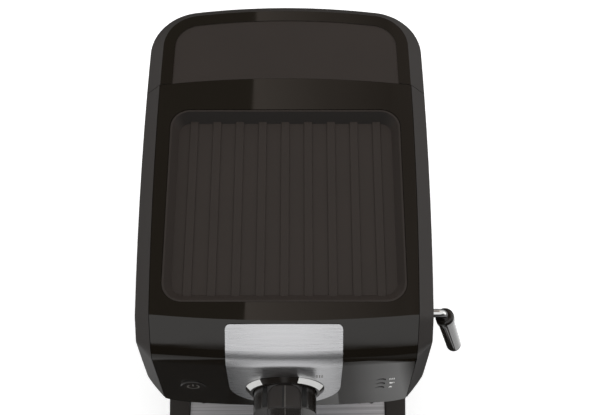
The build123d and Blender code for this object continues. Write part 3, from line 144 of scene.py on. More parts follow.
# Pump in the base
# A coil and piston in a pressed shell, dipped in dark stove enamel and hung in the rubber cradles.
# Stove enamel is semi-gloss and pulls into an orange-peel skin of about 1.5 mm.
stove_enamel, tree = new_material("Stove enamel")
position = place(tree, "ShaderNodeTexCoord").outputs["Object"]
peel = place(tree, "ShaderNodeTexNoise", {"Vector": position, "Scale": 1 / (1.5 * MM), "Detail": 1.0})
soot = place(tree, "ShaderNodeTexNoise", {"Vector": position, "Scale": 1 / (18 * MM), "Detail": 4.0})
tone = place(tree, "ShaderNodeValToRGB", {"Fac": soot.outputs["Fac"]})
tone.color_ramp.elements[0].color = colour("#3a3b40")
tone.color_ramp.elements[1].color = colour("#4b4c52")
dimples = place(
    tree,
    "ShaderNodeBump",
    {"Height": peel.outputs["Fac"], "Strength": 0.25, "Distance": 0.1 * MM},
)
skin = place(
    tree,
    "ShaderNodeBsdfPrincipled",
    {
        "Base Color": tone.outputs["Color"],
        "Roughness": 0.32,
        "Normal": dimples.outputs["Normal"],
        "IOR": 1.52,
    },
)
place(tree, "ShaderNodeOutputMaterial", {"Surface": skin.outputs["BSDF"]})
dress(stove_enamel, "pump")

# Suction and pressure hoses, and the boiler's seal
# Extruded or stamped silicone, milky and half clear, pushed over the stubs or clamped between the halves.
# Faint draw lines run along it, and its cloudiness changes over about 10 mm.
silicone, tree = new_material("Translucent silicone")
position = place(tree, "ShaderNodeTexCoord").outputs["Object"]
cloud = place(tree, "ShaderNodeTexNoise", {"Vector": position, "Scale": 1 / (10 * MM), "Detail": 3.0})
tone = place(tree, "ShaderNodeValToRGB", {"Fac": cloud.outputs["Fac"]})
tone.color_ramp.elements[0].color = colour("#c9c8bf")
tone.color_ramp.elements[1].color = colour("#dcdbd4")
veil = place(tree, "ShaderNodeMapRange", {"Value": cloud.outputs["Fac"], "To Min": 0.30, "To Max": 0.45})
skin = place(
    tree,
    "ShaderNodeBsdfPrincipled",
    {
        "Base Color": tone.outputs["Color"],
        "Roughness": veil.outputs["Result"],
        "IOR": 1.41,
        "Transmission Weight": 0.35,
    },
)
place(tree, "ShaderNodeOutputMaterial", {"Surface": skin.outputs["BSDF"]})
dress(silicone, "suction_hose", "pressure_hose", "boiler_gasket")

# Brewing group and the two boiler halves
# Gravity-cast aluminium, left as cast: a dull silver skin with fine sand grain and darker flow marks.
# The sand grain is 0.4 mm and is drawn at 0.8 mm so that it shows.
cast_aluminium, tree = new_material("Bare cast aluminium")
position = place(tree, "ShaderNodeTexCoord").outputs["Object"]
sand = place(tree, "ShaderNodeTexVoronoi", {"Vector": position, "Scale": 1 / (0.8 * MM)})
flow = place(tree, "ShaderNodeTexNoise", {"Vector": position, "Scale": 1 / (14 * MM), "Detail": 5.0})
tone = place(tree, "ShaderNodeValToRGB", {"Fac": flow.outputs["Fac"]})
tone.color_ramp.elements[0].color = colour("#a1a2a4")
tone.color_ramp.elements[1].color = colour("#c4c5c6")
chill = place(tree, "ShaderNodeMapRange", {"Value": flow.outputs["Fac"], "To Min": 0.42, "To Max": 0.58})
pits = place(
    tree,
    "ShaderNodeBump",
    {"Height": sand.outputs["Distance"], "Strength": 0.3, "Distance": 0.12 * MM},
)
skin = place(
    tree,
    "ShaderNodeBsdfPrincipled",
    {
        "Base Color": tone.outputs["Color"],
        "Metallic": 1.0,
        "Roughness": chill.outputs["Result"],
        "Normal": pits.outputs["Normal"],
    },
)
place(tree, "ShaderNodeOutputMaterial", {"Surface": skin.outputs["BSDF"]})
dress(cast_aluminium, "group_head", "boiler_lower", "boiler_upper")

# Shower screen, filter basket and steam pipe
# Stainless sheet and tube, deep drawn and punched: smooth, pale, with faint rings from the draw.
# The draw marks are 0.15 mm apart and are drawn 0.5 mm apart.
drawn_steel, tree = new_material("Deep-drawn stainless steel")
position = place(tree, "ShaderNodeTexCoord").outputs["Object"]
stretch = place(
    tree,
    "ShaderNodeMapping",
    {"Vector": position, "Scale": (1 / (12 * MM), 1 / (12 * MM), 1 / (0.5 * MM))},
)
draw = place(tree, "ShaderNodeTexNoise", {"Vector": stretch.outputs["Vector"], "Scale": 1.0, "Detail": 3.0})
tone = place(tree, "ShaderNodeValToRGB", {"Fac": draw.outputs["Fac"]})
tone.color_ramp.elements[0].color = colour("#bdbdbc")
tone.color_ramp.elements[1].color = colour("#d2d2d0")
polish = place(tree, "ShaderNodeMapRange", {"Value": draw.outputs["Fac"], "To Min": 0.20, "To Max": 0.32})
skin = place(
    tree,
    "ShaderNodeBsdfPrincipled",
    {"Base Color": tone.outputs["Color"], "Metallic": 1.0, "Roughness": polish.outputs["Result"]},
)
place(tree, "ShaderNodeOutputMaterial", {"Surface": skin.outputs["BSDF"]})
dress(drawn_steel, "shower_screen", "filter_basket", "steam_pipe")

# Control valve and knob shaft
# Free-cutting brass turned from bar, with the tool's fine feed lines and a little tarnish.
# The feed is 0.12 mm a turn and is drawn at 0.4 mm along the shaft.
turned_brass, tree = new_material("Turned brass")
position = place(tree, "ShaderNodeTexCoord").outputs["Object"]
feed = place(
    tree,
    "ShaderNodeTexWave",
    {"Vector": position, "Scale": 1 / (20 * 0.4 * MM)},
    bands_direction="Y",
)
tarnish = place(tree, "ShaderNodeTexNoise", {"Vector": position, "Scale": 1 / (7 * MM), "Detail": 5.0})
tone = place(tree, "ShaderNodeValToRGB", {"Fac": tarnish.outputs["Fac"]})
tone.color_ramp.elements[0].color = colour("#a98749")
tone.color_ramp.elements[1].color = colour("#d2b36c")
lines = place(
    tree,
    "ShaderNodeBump",
    {"Height": feed.outputs["Fac"], "Strength": 0.12, "Distance": 0.02 * MM},
)
skin = place(
    tree,
    "ShaderNodeBsdfPrincipled",
    {
        "Base Color": tone.outputs["Color"],
        "Metallic": 1.0,
        "Roughness": 0.28,
        "Normal": lines.outputs["Normal"],
    },
)
place(tree, "ShaderNodeOutputMaterial", {"Surface": skin.outputs["BSDF"]})
dress(turned_brass, "control_valve", "knob_shaft")

# Thermostats on the boiler and the mains switch behind the button
# Pale filled phenolic, pressed hot in a steel tool: cream, dull, with a faint mottle of 2 mm.
# The spade blades are part of the same pieces.
pale_phenolic, tree = new_material("Pale filled phenolic")
position = place(tree, "ShaderNodeTexCoord").outputs["Object"]
mottle = place(tree, "ShaderNodeTexNoise", {"Vector": position, "Scale": 1 / (2 * MM), "Detail": 3.0})
tone = place(tree, "ShaderNodeValToRGB", {"Fac": mottle.outputs["Fac"]})
tone.color_ramp.elements[0].color = colour("#d8d2c2")
tone.color_ramp.elements[1].color = colour("#e6e1d4")
bumps = place(
    tree,
    "ShaderNodeBump",
    {"Height": mottle.outputs["Fac"], "Strength": 0.1, "Distance": 0.05 * MM},
)
skin = place(
    tree,
    "ShaderNodeBsdfPrincipled",
    {
        "Base Color": tone.outputs["Color"],
        "Roughness": 0.55,
        "Normal": bumps.outputs["Normal"],
        "IOR": 1.55,
    },
)
place(tree, "ShaderNodeOutputMaterial", {"Surface": skin.outputs["BSDF"]})
dress(pale_phenolic, "thermostats", "power_switch")

# Screws, bolts and hinge pins
# Zinc-plated steel: four screws hold the underside panel, and four bolts clamp the boiler halves.
# The zinc is grey and satin, with crystals of 0.9 mm. Each underside screw's cross recess is drawn as a dark
# cross in the rubber's black: painted shade.
zinc_steel, tree = new_material("Zinc-plated steel")
position = place(tree, "ShaderNodeTexCoord").outputs["Object"]
spangle = place(tree, "ShaderNodeTexVoronoi", {"Vector": position, "Scale": 1 / (0.9 * MM)})
tone = place(tree, "ShaderNodeValToRGB", {"Fac": spangle.outputs["Distance"]})
tone.color_ramp.elements[0].color = colour("#a4a8ab")
tone.color_ramp.elements[1].color = colour("#c6c9ca")
skin = place(
    tree,
    "ShaderNodeBsdfPrincipled",
    {"Base Color": tone.outputs["Color"], "Metallic": 1.0, "Roughness": 0.36},
)
place(tree, "ShaderNodeOutputMaterial", {"Surface": skin.outputs["BSDF"]})
dress(zinc_steel, "underside_screws", "hinge_pins", "screen_screw", "boiler_bolts", "handle_bolt")


def mesh_piece(name, points, faces, material, body, slot):
    """A piece made from points and faces in the shared frame, riding on one body."""
    mesh = bpy.data.meshes.new(name)
    mesh.from_pydata(points, [], faces)
    mesh.materials.append(material)
    mesh.update()
    piece = bpy.data.objects.new(name, mesh)
    bpy.context.scene.collection.objects.link(piece)
    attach(piece, body)
    return piece


def bars(boxes):
    """Points and faces of several small bars, each between two corners."""
    points = []
    faces = []
    for low, high in boxes:
        n = len(points)
        points += [(x, y, z) for x in (low[0], high[0]) for y in (low[1], high[1]) for z in (low[2], high[2])]
        sides = ((0, 1, 3, 2), (4, 6, 7, 5), (0, 4, 5, 1), (2, 3, 7, 6), (0, 2, 6, 4), (1, 5, 7, 3))
        faces += [tuple(n + i for i in side) for side in sides]
    return points, faces


screw_low, screw_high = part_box("underside_screws")
screw_head = 2.8 * MM
recess_half = 1.6 * MM
recess_width = 0.35 * MM
recess_depth = 0.3 * MM
recess_proud = 0.04 * MM
# A dark cross in each screw head's recess: painted shade.
recess_shade_bars = []
for x in (screw_low[0] + screw_head, screw_high[0] - screw_head):
    for y in (screw_low[1] + screw_head, screw_high[1] - screw_head):
        for across, along in ((recess_half, recess_width), (recess_width, recess_half)):
            recess_shade_bars.append(
                (
                    (x - across, y - along, screw_low[2] - recess_proud),
                    (x + across, y + along, screw_low[2] + recess_depth),
                )
            )
mesh_piece("screw_cross_shade", *bars(recess_shade_bars), black_rubber, "housing", "black_rubber")

# Gloss panel over the top and front, the tank's lid and the frothing sleeve
# Injection-moulded ABS from a polished tool: near-black, mirror smooth, with a faint wave in its reflections.
# The wave is some 12 mm long, as shrinkage leaves it, and wiping leaves haze in patches of 45 mm.
gloss_abs, tree = new_material("Polished moulded ABS")
position = place(tree, "ShaderNodeTexCoord").outputs["Object"]
wave = place(tree, "ShaderNodeTexNoise", {"Vector": position, "Scale": 1 / (12 * MM), "Detail": 1.0})
haze = place(tree, "ShaderNodeTexNoise", {"Vector": position, "Scale": 1 / (45 * MM), "Detail": 5.0})
tone = place(tree, "ShaderNodeValToRGB", {"Fac": haze.outputs["Fac"]})
tone.color_ramp.elements[0].color = colour("#16120d")
tone.color_ramp.elements[1].color = colour("#191510")
wiped = place(
    tree,
    "ShaderNodeMapRange",
    {"Value": haze.outputs["Fac"], "From Min": 0.35, "From Max": 0.7, "To Min": 0.02, "To Max": 0.055},
)
ripple = place(
    tree,
    "ShaderNodeBump",
    {"Height": wave.outputs["Fac"], "Strength": 0.02, "Distance": 0.05 * MM},
)
skin = place(
    tree,
    "ShaderNodeBsdfPrincipled",
    {
        "Base Color": tone.outputs["Color"],
        "Roughness": wiped.outputs["Result"],
        "Normal": ripple.outputs["Normal"],
        "IOR": 1.5,
    },
)
place(tree, "ShaderNodeOutputMaterial", {"Surface": skin.outputs["BSDF"]})
dress(gloss_abs, "top_fascia", "tank_lid", "froth_sleeve")

# The lid is polished on its top alone: its bevelled edge and underside keep the covers' satin grain.
lid_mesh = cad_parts["tank_lid"].data
lid_mesh.materials.append(satin_abs)
flat_enough = 0.97
for face in lid_mesh.polygons:
    face.material_index = int(face.normal.z < flat_enough)

# Large faces lead the panel's shading, so that no sliver beside its lower bend draws a glint.
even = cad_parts["top_fascia"].modifiers.new("even_shading", "WEIGHTED_NORMAL")
even.mode = "FACE_AREA"
even.weight = 100

# Cup rest, lid inset, tank shelf and tank valve
# Moulded ABS, etched to a matte grain of 0.25 mm, drawn at 0.7 mm so that it shows. The cup rest clips up
# under the panel's edge. Walls that face the front stay polished, for release from the tool, and their colour
# is darkened as painted shade.
matte_abs, tree = new_material("Etched moulded ABS")
coordinates = place(tree, "ShaderNodeTexCoord")
position = coordinates.outputs["Object"]
grain = place(tree, "ShaderNodeTexNoise", {"Vector": position, "Scale": 1 / (0.7 * MM), "Detail": 3.0})
scuff = place(tree, "ShaderNodeTexNoise", {"Vector": position, "Scale": 1 / (38 * MM), "Detail": 4.0})
tone = place(tree, "ShaderNodeValToRGB", {"Fac": scuff.outputs["Fac"]})
tone.color_ramp.elements[0].color = colour("#29231f")
tone.color_ramp.elements[1].color = colour("#2e2723")
facing = place(tree, "ShaderNodeSeparateXYZ", {"Vector": coordinates.outputs["Normal"]})
etched_not_shaded = place(
    tree,
    "ShaderNodeMapRange",
    {"Value": facing.outputs["Y"], "From Min": -0.8, "From Max": -0.3},
)
# Walls that face the front take the darker colour: painted shade.
tone_with_painted_shade = place(
    tree,
    "ShaderNodeMix",
    {0: etched_not_shaded.outputs["Result"], 6: colour("#181411"), 7: tone.outputs["Color"]},
    data_type="RGBA",
)
dulled = place(
    tree,
    "ShaderNodeMapRange",
    {"Value": etched_not_shaded.outputs["Result"], "To Min": 0.45, "To Max": 0.62},
)
pits = place(
    tree,
    "ShaderNodeBump",
    {"Height": grain.outputs["Fac"], "Strength": 0.2, "Distance": 0.08 * MM},
)
skin = place(
    tree,
    "ShaderNodeBsdfPrincipled",
    {
        "Base Color": tone_with_painted_shade.outputs[2],
        "Roughness": dulled.outputs["Result"],
        "Normal": pits.outputs["Normal"],
        "IOR": 1.45,
        "Specular IOR Level": 0.35,
    },
)
place(tree, "ShaderNodeOutputMaterial", {"Surface": skin.outputs["BSDF"]})
dress(matte_abs, "cup_tray", "lid_inset", "tank_dock", "tank_valve")

# Front plate
# Stainless sheet, line-brushed from side to side, then cut, bent over the top edge and glued to the panel.
# The scratches are 0.1 mm apart and are drawn 0.4 mm apart, each as long as the plate.
brushed_steel, tree = new_material("Line-brushed stainless steel")
position = place(tree, "ShaderNodeTexCoord").outputs["Object"]
lines = place(
    tree,
    "ShaderNodeMapping",
    {"Vector": position, "Scale": (1 / (300 * MM), 1 / (0.4 * MM), 1 / (0.4 * MM))},
)
scratch = place(
    tree,
    "ShaderNodeTexNoise",
    {"Vector": lines.outputs["Vector"], "Scale": 1.0, "Detail": 3.0},
)
tone = place(tree, "ShaderNodeValToRGB", {"Fac": scratch.outputs["Fac"]})
tone.color_ramp.elements[0].position = 0.3
tone.color_ramp.elements[0].color = colour("#d2d2d4")
tone.color_ramp.elements[1].position = 0.7
tone.color_ramp.elements[1].color = colour("#ededef")
polish = place(
    tree,
    "ShaderNodeMapRange",
    {"Value": scratch.outputs["Fac"], "To Min": 0.24, "To Max": 0.32},
)
grooves = place(
    tree,
    "ShaderNodeBump",
    {"Height": scratch.outputs["Fac"], "Strength": 0.05, "Distance": 0.02 * MM},
)
skin = place(
    tree,
    "ShaderNodeBsdfPrincipled",
    {
        "Base Color": tone.outputs["Color"],
        "Metallic": 1.0,
        "Roughness": polish.outputs["Result"],
        "Normal": grooves.outputs["Normal"],
    },
)
place(tree, "ShaderNodeOutputMaterial", {"Surface": skin.outputs["BSDF"]})
dress(brushed_steel, "front_plate")

# Drip grate
# Stainless sheet, slotted, with a lip that drops into the tray it lies on. Its coarse belt-ground face
# scatters light far more than the plate does. The lines are 0.4 mm apart and are drawn 0.9 mm apart.
ground_steel, tree = new_material("Belt-ground stainless steel")
position = place(tree, "ShaderNodeTexCoord").outputs["Object"]
lines = place(
    tree,
    "ShaderNodeMapping",
    {"Vector": position, "Scale": (1 / (120 * MM), 1 / (0.9 * MM), 1 / (0.9 * MM))},
)
scratch = place(
    tree,
    "ShaderNodeTexNoise",
    {"Vector": lines.outputs["Vector"], "Scale": 1.0, "Detail": 2.0},
)
tone = place(tree, "ShaderNodeValToRGB", {"Fac": scratch.outputs["Fac"]})
tone.color_ramp.elements[0].position = 0.3
tone.color_ramp.elements[0].color = colour("#b4b3b6")
tone.color_ramp.elements[1].position = 0.7
tone.color_ramp.elements[1].color = colour("#e6e5e8")
polish = place(
    tree,
    "ShaderNodeMapRange",
    {"Value": scratch.outputs["Fac"], "To Min": 0.46, "To Max": 0.58},
)
skin = place(
    tree,
    "ShaderNodeBsdfPrincipled",
    {"Base Color": tone.outputs["Color"], "Metallic": 1.0, "Roughness": polish.outputs["Result"]},
)
place(tree, "ShaderNodeOutputMaterial", {"Surface": skin.outputs["BSDF"]})
dress(ground_steel, "drip_grate")

# Knob, dial ring, push button, spout, holder handle and wand bush
# Black phenolic, compression moulded and polished in the tool, slightly softer in shine than the panel.
# Its flow leaves an uneven shine in patches of 5 mm.
phenolic, tree = new_material("Black moulded phenolic")
position = place(tree, "ShaderNodeTexCoord").outputs["Object"]
flow = place(tree, "ShaderNodeTexNoise", {"Vector": position, "Scale": 1 / (5 * MM), "Detail": 4.0})
tone = place(tree, "ShaderNodeValToRGB", {"Fac": flow.outputs["Fac"]})
tone.color_ramp.elements[0].color = colour("#1c1815")
tone.color_ramp.elements[1].color = colour("#221e1a")
shine = place(tree, "ShaderNodeMapRange", {"Value": flow.outputs["Fac"], "To Min": 0.10, "To Max": 0.20})
bumps = place(
    tree,
    "ShaderNodeBump",
    {"Height": flow.outputs["Fac"], "Strength": 0.03, "Distance": 0.05 * MM},
)
skin = place(
    tree,
    "ShaderNodeBsdfPrincipled",
    {
        "Base Color": tone.outputs["Color"],
        "Roughness": shine.outputs["Result"],
        "Normal": bumps.outputs["Normal"],
        "IOR": 1.55,
    },
)
place(tree, "ShaderNodeOutputMaterial", {"Surface": skin.outputs["BSDF"]})
dress(phenolic, "knob", "knob_bezel", "power_button", "coffee_spout", "holder_handle", "wand_bush")

# Inlay, painted shade line and painted shade strips of the knob's grip
# A satin ABS inlay clipped over the top of the grip, with a dark line in the rubber's black along its middle,
# painted shade for the shaded side of a ridge, and a dark rubber-black strip at each side of the grip,
# painted shade for the recesses there.
ring_low, ring_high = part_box("knob_bezel")
knob_low, knob_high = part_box("knob")
dial_z = (ring_low[2] + ring_high[2]) / 2
grip_radius = knob_high[2] - dial_z
grip_back = ring_low[1] - 0.6 * MM
grip_front = knob_low[1]


def grid(rows):
    """Points and four-sided faces of a surface given as rows of points."""
    width = len(rows[0])
    faces = [
        (r * width + c, r * width + c + 1, (r + 1) * width + c + 1, (r + 1) * width + c)
        for r in range(len(rows) - 1)
        for c in range(width - 1)
    ]
    return [point for row in rows for point in row], faces


def sheet(name, rows, thickness, material, body, slot):
    """A thin curved piece from rows of points, thickened inwards."""
    piece = mesh_piece(name, *grid(rows), material, body, slot)
    shell = piece.modifiers.new("thickness", "SOLIDIFY")
    shell.thickness = thickness
    for face in piece.data.polygons:
        face.use_smooth = True


inlay_half = 11.2 * MM
inlay_corner = 7.0 * MM
inlay_radius = grip_radius + 0.2 * MM
inlay_front = grip_front + 0.5 * MM
trim_thickness = 0.5 * MM
steps_back = 14
steps_half = 8
inlay_rows = []
for i in range(steps_back + 1):
    y = inlay_front + (grip_back - inlay_front) * i / steps_back
    short = max(inlay_corner - (grip_back - y), 0)
    half = inlay_half - inlay_corner + sqrt(max(inlay_corner**2 - short**2, 0))
    across = [half * (j / steps_half - 1) for j in range(2 * steps_half + 1)]
    inlay_rows.append([(x, y, dial_z + sqrt(inlay_radius**2 - x**2)) for x in across])
sheet("knob_inlay", inlay_rows, trim_thickness, satin_abs, "knob", "satin_black")

# Dark strips at both sides of the grip: painted shade for its recesses.
strip_radius = grip_radius - 0.28 * MM
strip_front = grip_front + 2.2 * MM
strip_inner = 33
strip_outer = 43
strip_steps = 8
for name, first, last in (
    ("knob_shade_strip_left", -strip_outer, -strip_inner),
    ("knob_shade_strip_right", strip_inner, strip_outer),
):
    turns = [radians(first + (last - first) * j / strip_steps) for j in range(strip_steps + 1)]
    strip_rows = [
        [(strip_radius * sin(t), y, dial_z + strip_radius * cos(t)) for t in turns]
        for y in (strip_front, grip_back)
    ]
    sheet(name, strip_rows, trim_thickness, black_rubber, "knob", "black_rubber")

inlay_top = dial_z + inlay_radius
line_front = grip_front + 0.6 * MM
line_back = grip_back - 0.8 * MM
line_depth = 0.3 * MM
# A dark line along the inlay's middle: painted shade for the shaded side of a ridge.
shade_line_left = -1.5 * MM
shade_line_right = -0.4 * MM
shade_line_proud = 0.03 * MM
shade_line_bar = (
    (shade_line_left, line_front, inlay_top - line_depth),
    (shade_line_right, line_back, inlay_top + shade_line_proud),
)
mesh_piece("knob_shade_line", *bars([shade_line_bar]), black_rubber, "knob", "black_rubber")

# Marks of the control dial
# Two white arcs pad-printed on the dial ring.
# The ink is thin and slightly dull, with specks of 0.6 mm where the pad lifted.
ink, tree = new_material("White pad-printed ink")
position = place(tree, "ShaderNodeTexCoord").outputs["Object"]
specks = place(tree, "ShaderNodeTexNoise", {"Vector": position, "Scale": 1 / (0.6 * MM), "Detail": 2.0})
tone = place(tree, "ShaderNodeValToRGB", {"Fac": specks.outputs["Fac"]})
tone.color_ramp.elements[0].color = colour("#f4f4f1")
tone.color_ramp.elements[1].color = colour("#fdfdfb")
skin = place(
    tree,
    "ShaderNodeBsdfPrincipled",
    {"Base Color": tone.outputs["Color"], "Roughness": 0.42, "IOR": 1.48},
)
place(tree, "ShaderNodeOutputMaterial", {"Surface": skin.outputs["BSDF"]})

ring_radius = (ring_high[0] - ring_low[0]) / 2
ring_back = ring_high[1]
ring_front = ring_low[1]
ring_slope = 3.0 * MM
ink_depth = 0.06 * MM
left_arc = (-77, -38)
right_arc = (21, 76)
arc_steps = 24
slope_shares = (-0.02, 0.35, 0.65, 0.98)
arc_points = []
arc_faces = []
for first, last in (left_arc, right_arc):
    start = len(arc_points)
    for i in range(arc_steps + 1):
        turn = radians(first + (last - first) * i / arc_steps)
        for share in slope_shares:
            radius = ring_radius - ring_slope * share + ink_depth
            depth = ring_back + (ring_front - ring_back) * share - ink_depth
            arc_points.append((radius * sin(turn), depth, dial_z + radius * cos(turn)))
    width = len(slope_shares)
    for i in range(arc_steps):
        for j in range(width - 1):
            a = start + width * i + j
            arc_faces.append((a, a + 1, a + width + 1, a + width))
mesh_piece("dial_arcs", arc_points, arc_faces, ink, "housing", "ceramic_white")

# Pointer and painted highlight on the knob, and standby sign on the push button
# A fine line down the knob's face and an open ring with a bar at its top on the button, engraved and filled
# with grey lacquer, which sinks unevenly and so shows a mottle of 0.5 mm. A grey line along the top of the
# grip is a painted highlight, the lit side of a ridge, and the ring's grey partly stands for the light arcs
# on the button's rim, a painted reflection.
grey_lacquer, tree = new_material("Grey filling lacquer")
position = place(tree, "ShaderNodeTexCoord").outputs["Object"]
sunk = place(tree, "ShaderNodeTexNoise", {"Vector": position, "Scale": 1 / (0.5 * MM), "Detail": 2.0})
tone = place(tree, "ShaderNodeValToRGB", {"Fac": sunk.outputs["Fac"]})
tone.color_ramp.elements[0].color = colour("#5e5b57")
tone.color_ramp.elements[1].color = colour("#75726d")
skin = place(
    tree,
    "ShaderNodeBsdfPrincipled",
    {"Base Color": tone.outputs["Color"], "Roughness": 0.4, "IOR": 1.48},
)
place(tree, "ShaderNodeOutputMaterial", {"Surface": skin.outputs["BSDF"]})

pointer_left = 0.1 * MM
pointer_right = 0.55 * MM
pointer_proud = 0.05 * MM
face_line_low = dial_z + 6 * MM
face_line_high = dial_z + 20.5 * MM
# The first bar, along the grip's top, is a painted highlight. The second is the pointer down the face.
pointer_and_highlight_lines = [
    (
        (pointer_left, line_front, inlay_top - line_depth),
        (pointer_right, line_back, inlay_top + pointer_proud),
    ),
    (
        (pointer_left, grip_front - pointer_proud, face_line_low),
        (pointer_right, grip_front + line_depth, face_line_high),
    ),
]
mesh_piece("knob_pointer_and_highlight", *bars(pointer_and_highlight_lines), grey_lacquer, "knob", "handle_black")

button_low, button_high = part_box("power_button")
button_x = (button_low[0] + button_high[0]) / 2
button_z = (button_low[2] + button_high[2]) / 2
sign_y = button_low[1] - 0.03 * MM
sign_radius = 3.9 * MM
sign_line = 0.7 * MM
sign_gap = 34
sign_steps = 40
# The ring is the standby sign, and its grey also stands for the light arcs on the button's rim: painted
# reflection.
sign_points = []
for i in range(sign_steps + 1):
    turn = radians(sign_gap + (360 - 2 * sign_gap) * i / sign_steps)
    for radius in (sign_radius - sign_line / 2, sign_radius + sign_line / 2):
        sign_points.append((button_x + radius * sin(turn), sign_y, button_z + radius * cos(turn)))
sign_faces = [(2 * i, 2 * i + 1, 2 * i + 3, 2 * i + 2) for i in range(sign_steps)]
n = len(sign_points)
bar_low = button_z + 0.8 * MM
bar_high = button_z + 4.8 * MM
sign_points += [
    (button_x - sign_line / 2, sign_y, bar_low),
    (button_x + sign_line / 2, sign_y, bar_low),
    (button_x + sign_line / 2, sign_y, bar_high),
    (button_x - sign_line / 2, sign_y, bar_high),
]
sign_faces.append((n, n + 1, n + 2, n + 3))
mesh_piece("standby_sign_and_rim_reflection", sign_points, sign_faces, grey_lacquer, "button", "handle_black")

# Three lamp lenses
# Smoke-tinted acrylic light pipes pressed through slots in the panel, dark until a lamp behind one is lit.
# They are polished at the front, with a faint cloud of 3 mm from the lamp's diffuser.
smoke_acrylic, tree = new_material("Smoke-tinted acrylic")
position = place(tree, "ShaderNodeTexCoord").outputs["Object"]
cloud = place(tree, "ShaderNodeTexNoise", {"Vector": position, "Scale": 1 / (3 * MM), "Detail": 2.0})
tone = place(tree, "ShaderNodeValToRGB", {"Fac": cloud.outputs["Fac"]})
tone.color_ramp.elements[0].color = colour("#100f0e")
tone.color_ramp.elements[1].color = colour("#1b1a18")
gleam = place(tree, "ShaderNodeMapRange", {"Value": cloud.outputs["Fac"], "To Min": 0.1, "To Max": 0.2})
skin = place(
    tree,
    "ShaderNodeBsdfPrincipled",
    {"Base Color": tone.outputs["Color"], "Roughness": gleam.outputs["Result"], "IOR": 1.49},
)
place(tree, "ShaderNodeOutputMaterial", {"Surface": skin.outputs["BSDF"]})
dress(smoke_acrylic, "indicator_lenses")

# Board behind the lamps
# Glass cloth pressed with resin, under green solder mask, fixed behind the lenses to carry the lamps.
# The cloth shows through the mask as a weave of 1 mm.
solder_mask, tree = new_material("Green solder mask")
position = place(tree, "ShaderNodeTexCoord").outputs["Object"]
weave = place(tree, "ShaderNodeTexChecker", {"Vector": position, "Scale": 1 / (1 * MM)})
tracks = place(tree, "ShaderNodeTexNoise", {"Vector": position, "Scale": 1 / (8 * MM), "Detail": 1.0})
tone = place(tree, "ShaderNodeValToRGB", {"Fac": tracks.outputs["Fac"]})
tone.color_ramp.interpolation = "CONSTANT"
tone.color_ramp.elements[0].color = colour("#1f6b3c")
tone.color_ramp.elements[1].position = 0.52
tone.color_ramp.elements[1].color = colour("#2a7f4a")
cloth = place(
    tree,
    "ShaderNodeBump",
    {"Height": weave.outputs["Fac"], "Strength": 0.1, "Distance": 0.03 * MM},
)
skin = place(
    tree,
    "ShaderNodeBsdfPrincipled",
    {"Base Color": tone.outputs["Color"], "Roughness": 0.35, "Normal": cloth.outputs["Normal"], "IOR": 1.5},
)
place(tree, "ShaderNodeOutputMaterial", {"Surface": skin.outputs["BSDF"]})
dress(solder_mask, "lamp_board")

# Signs beside the lamps
# Steam, cup and heat signs, pad-printed in the same white ink on the bowed front, one beside each lamp.
lens_low, lens_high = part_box("indicator_lenses")
front_bow = 950 * MM
front_y = -138 * MM
print_proud = 0.04 * MM


def on_front(x, z):
    """A point just proud of the bowed front face."""
    return (x, front_y + front_bow - sqrt(front_bow**2 - x**2) - print_proud, z)


sign_x = lens_high[0] + 4.2 * MM
sign_wide = 0.75 * MM
sign_tall = 1.1 * MM
lamp_pitch = 8.5 * MM
lamp_mid = (lens_low[2] + lens_high[2]) / 2
steam_z = lamp_mid + lamp_pitch
heat_z = lamp_mid - lamp_pitch
steam_bar = [(-0.4, -1.6), (0.4, -1.6), (0.4, 1.6), (-0.4, 1.6)]
cup = [(-1.2, -1.5), (1.2, -1.5), (2.0, 1.3), (-2.0, 1.3)]
cup_handle = [(2.2, -0.6), (3.0, -0.6), (3.0, 0.9), (2.2, 0.9)]
flame = [(-1.7, -1.3), (1.7, -1.3), (1.2, 0.1), (0.0, 1.5), (-1.2, 0.1)]
bar_pitch = 1.9 * sign_wide
sign_shapes = [(sign_x + step * bar_pitch, steam_z, steam_bar) for step in (-1, 0, 1)]
sign_shapes += [(sign_x, lamp_mid, cup), (sign_x, lamp_mid, cup_handle), (sign_x, heat_z, flame)]
lamp_points = []
lamp_faces = []
for x, z, shape in sign_shapes:
    n = len(lamp_points)
    lamp_points += [on_front(x + u * sign_wide, z + v * sign_tall) for u, v in shape]
    lamp_faces.append(tuple(range(n, n + len(shape))))
mesh_piece("lamp_signs", lamp_points, lamp_faces, ink, "housing", "ceramic_white")

# Steam sign on the plate
# Three short bars, etched into the steel at the end of the dial's right arc and filled with the grey lacquer.
plate_proud = 0.85 * MM
mark_x = 23.3 * MM
mark_pitch = 1.7 * MM
mark_rise = 26.5 * MM
mark_half_width = 0.35 * MM
mark_half_height = 2.8 * MM
mark_depth = 0.3 * MM
steam_bars = []
for step in (-1, 0, 1):
    x, y, z = on_front(mark_x + mark_pitch * step, dial_z + mark_rise)
    steam_bars.append(
        (
            (x - mark_half_width, y - plate_proud, z - mark_half_height),
            (x + mark_half_width, y - plate_proud + mark_depth, z + mark_half_height),
        )
    )
mesh_piece("steam_sign", *bars(steam_bars), grey_lacquer, "housing", "handle_black")

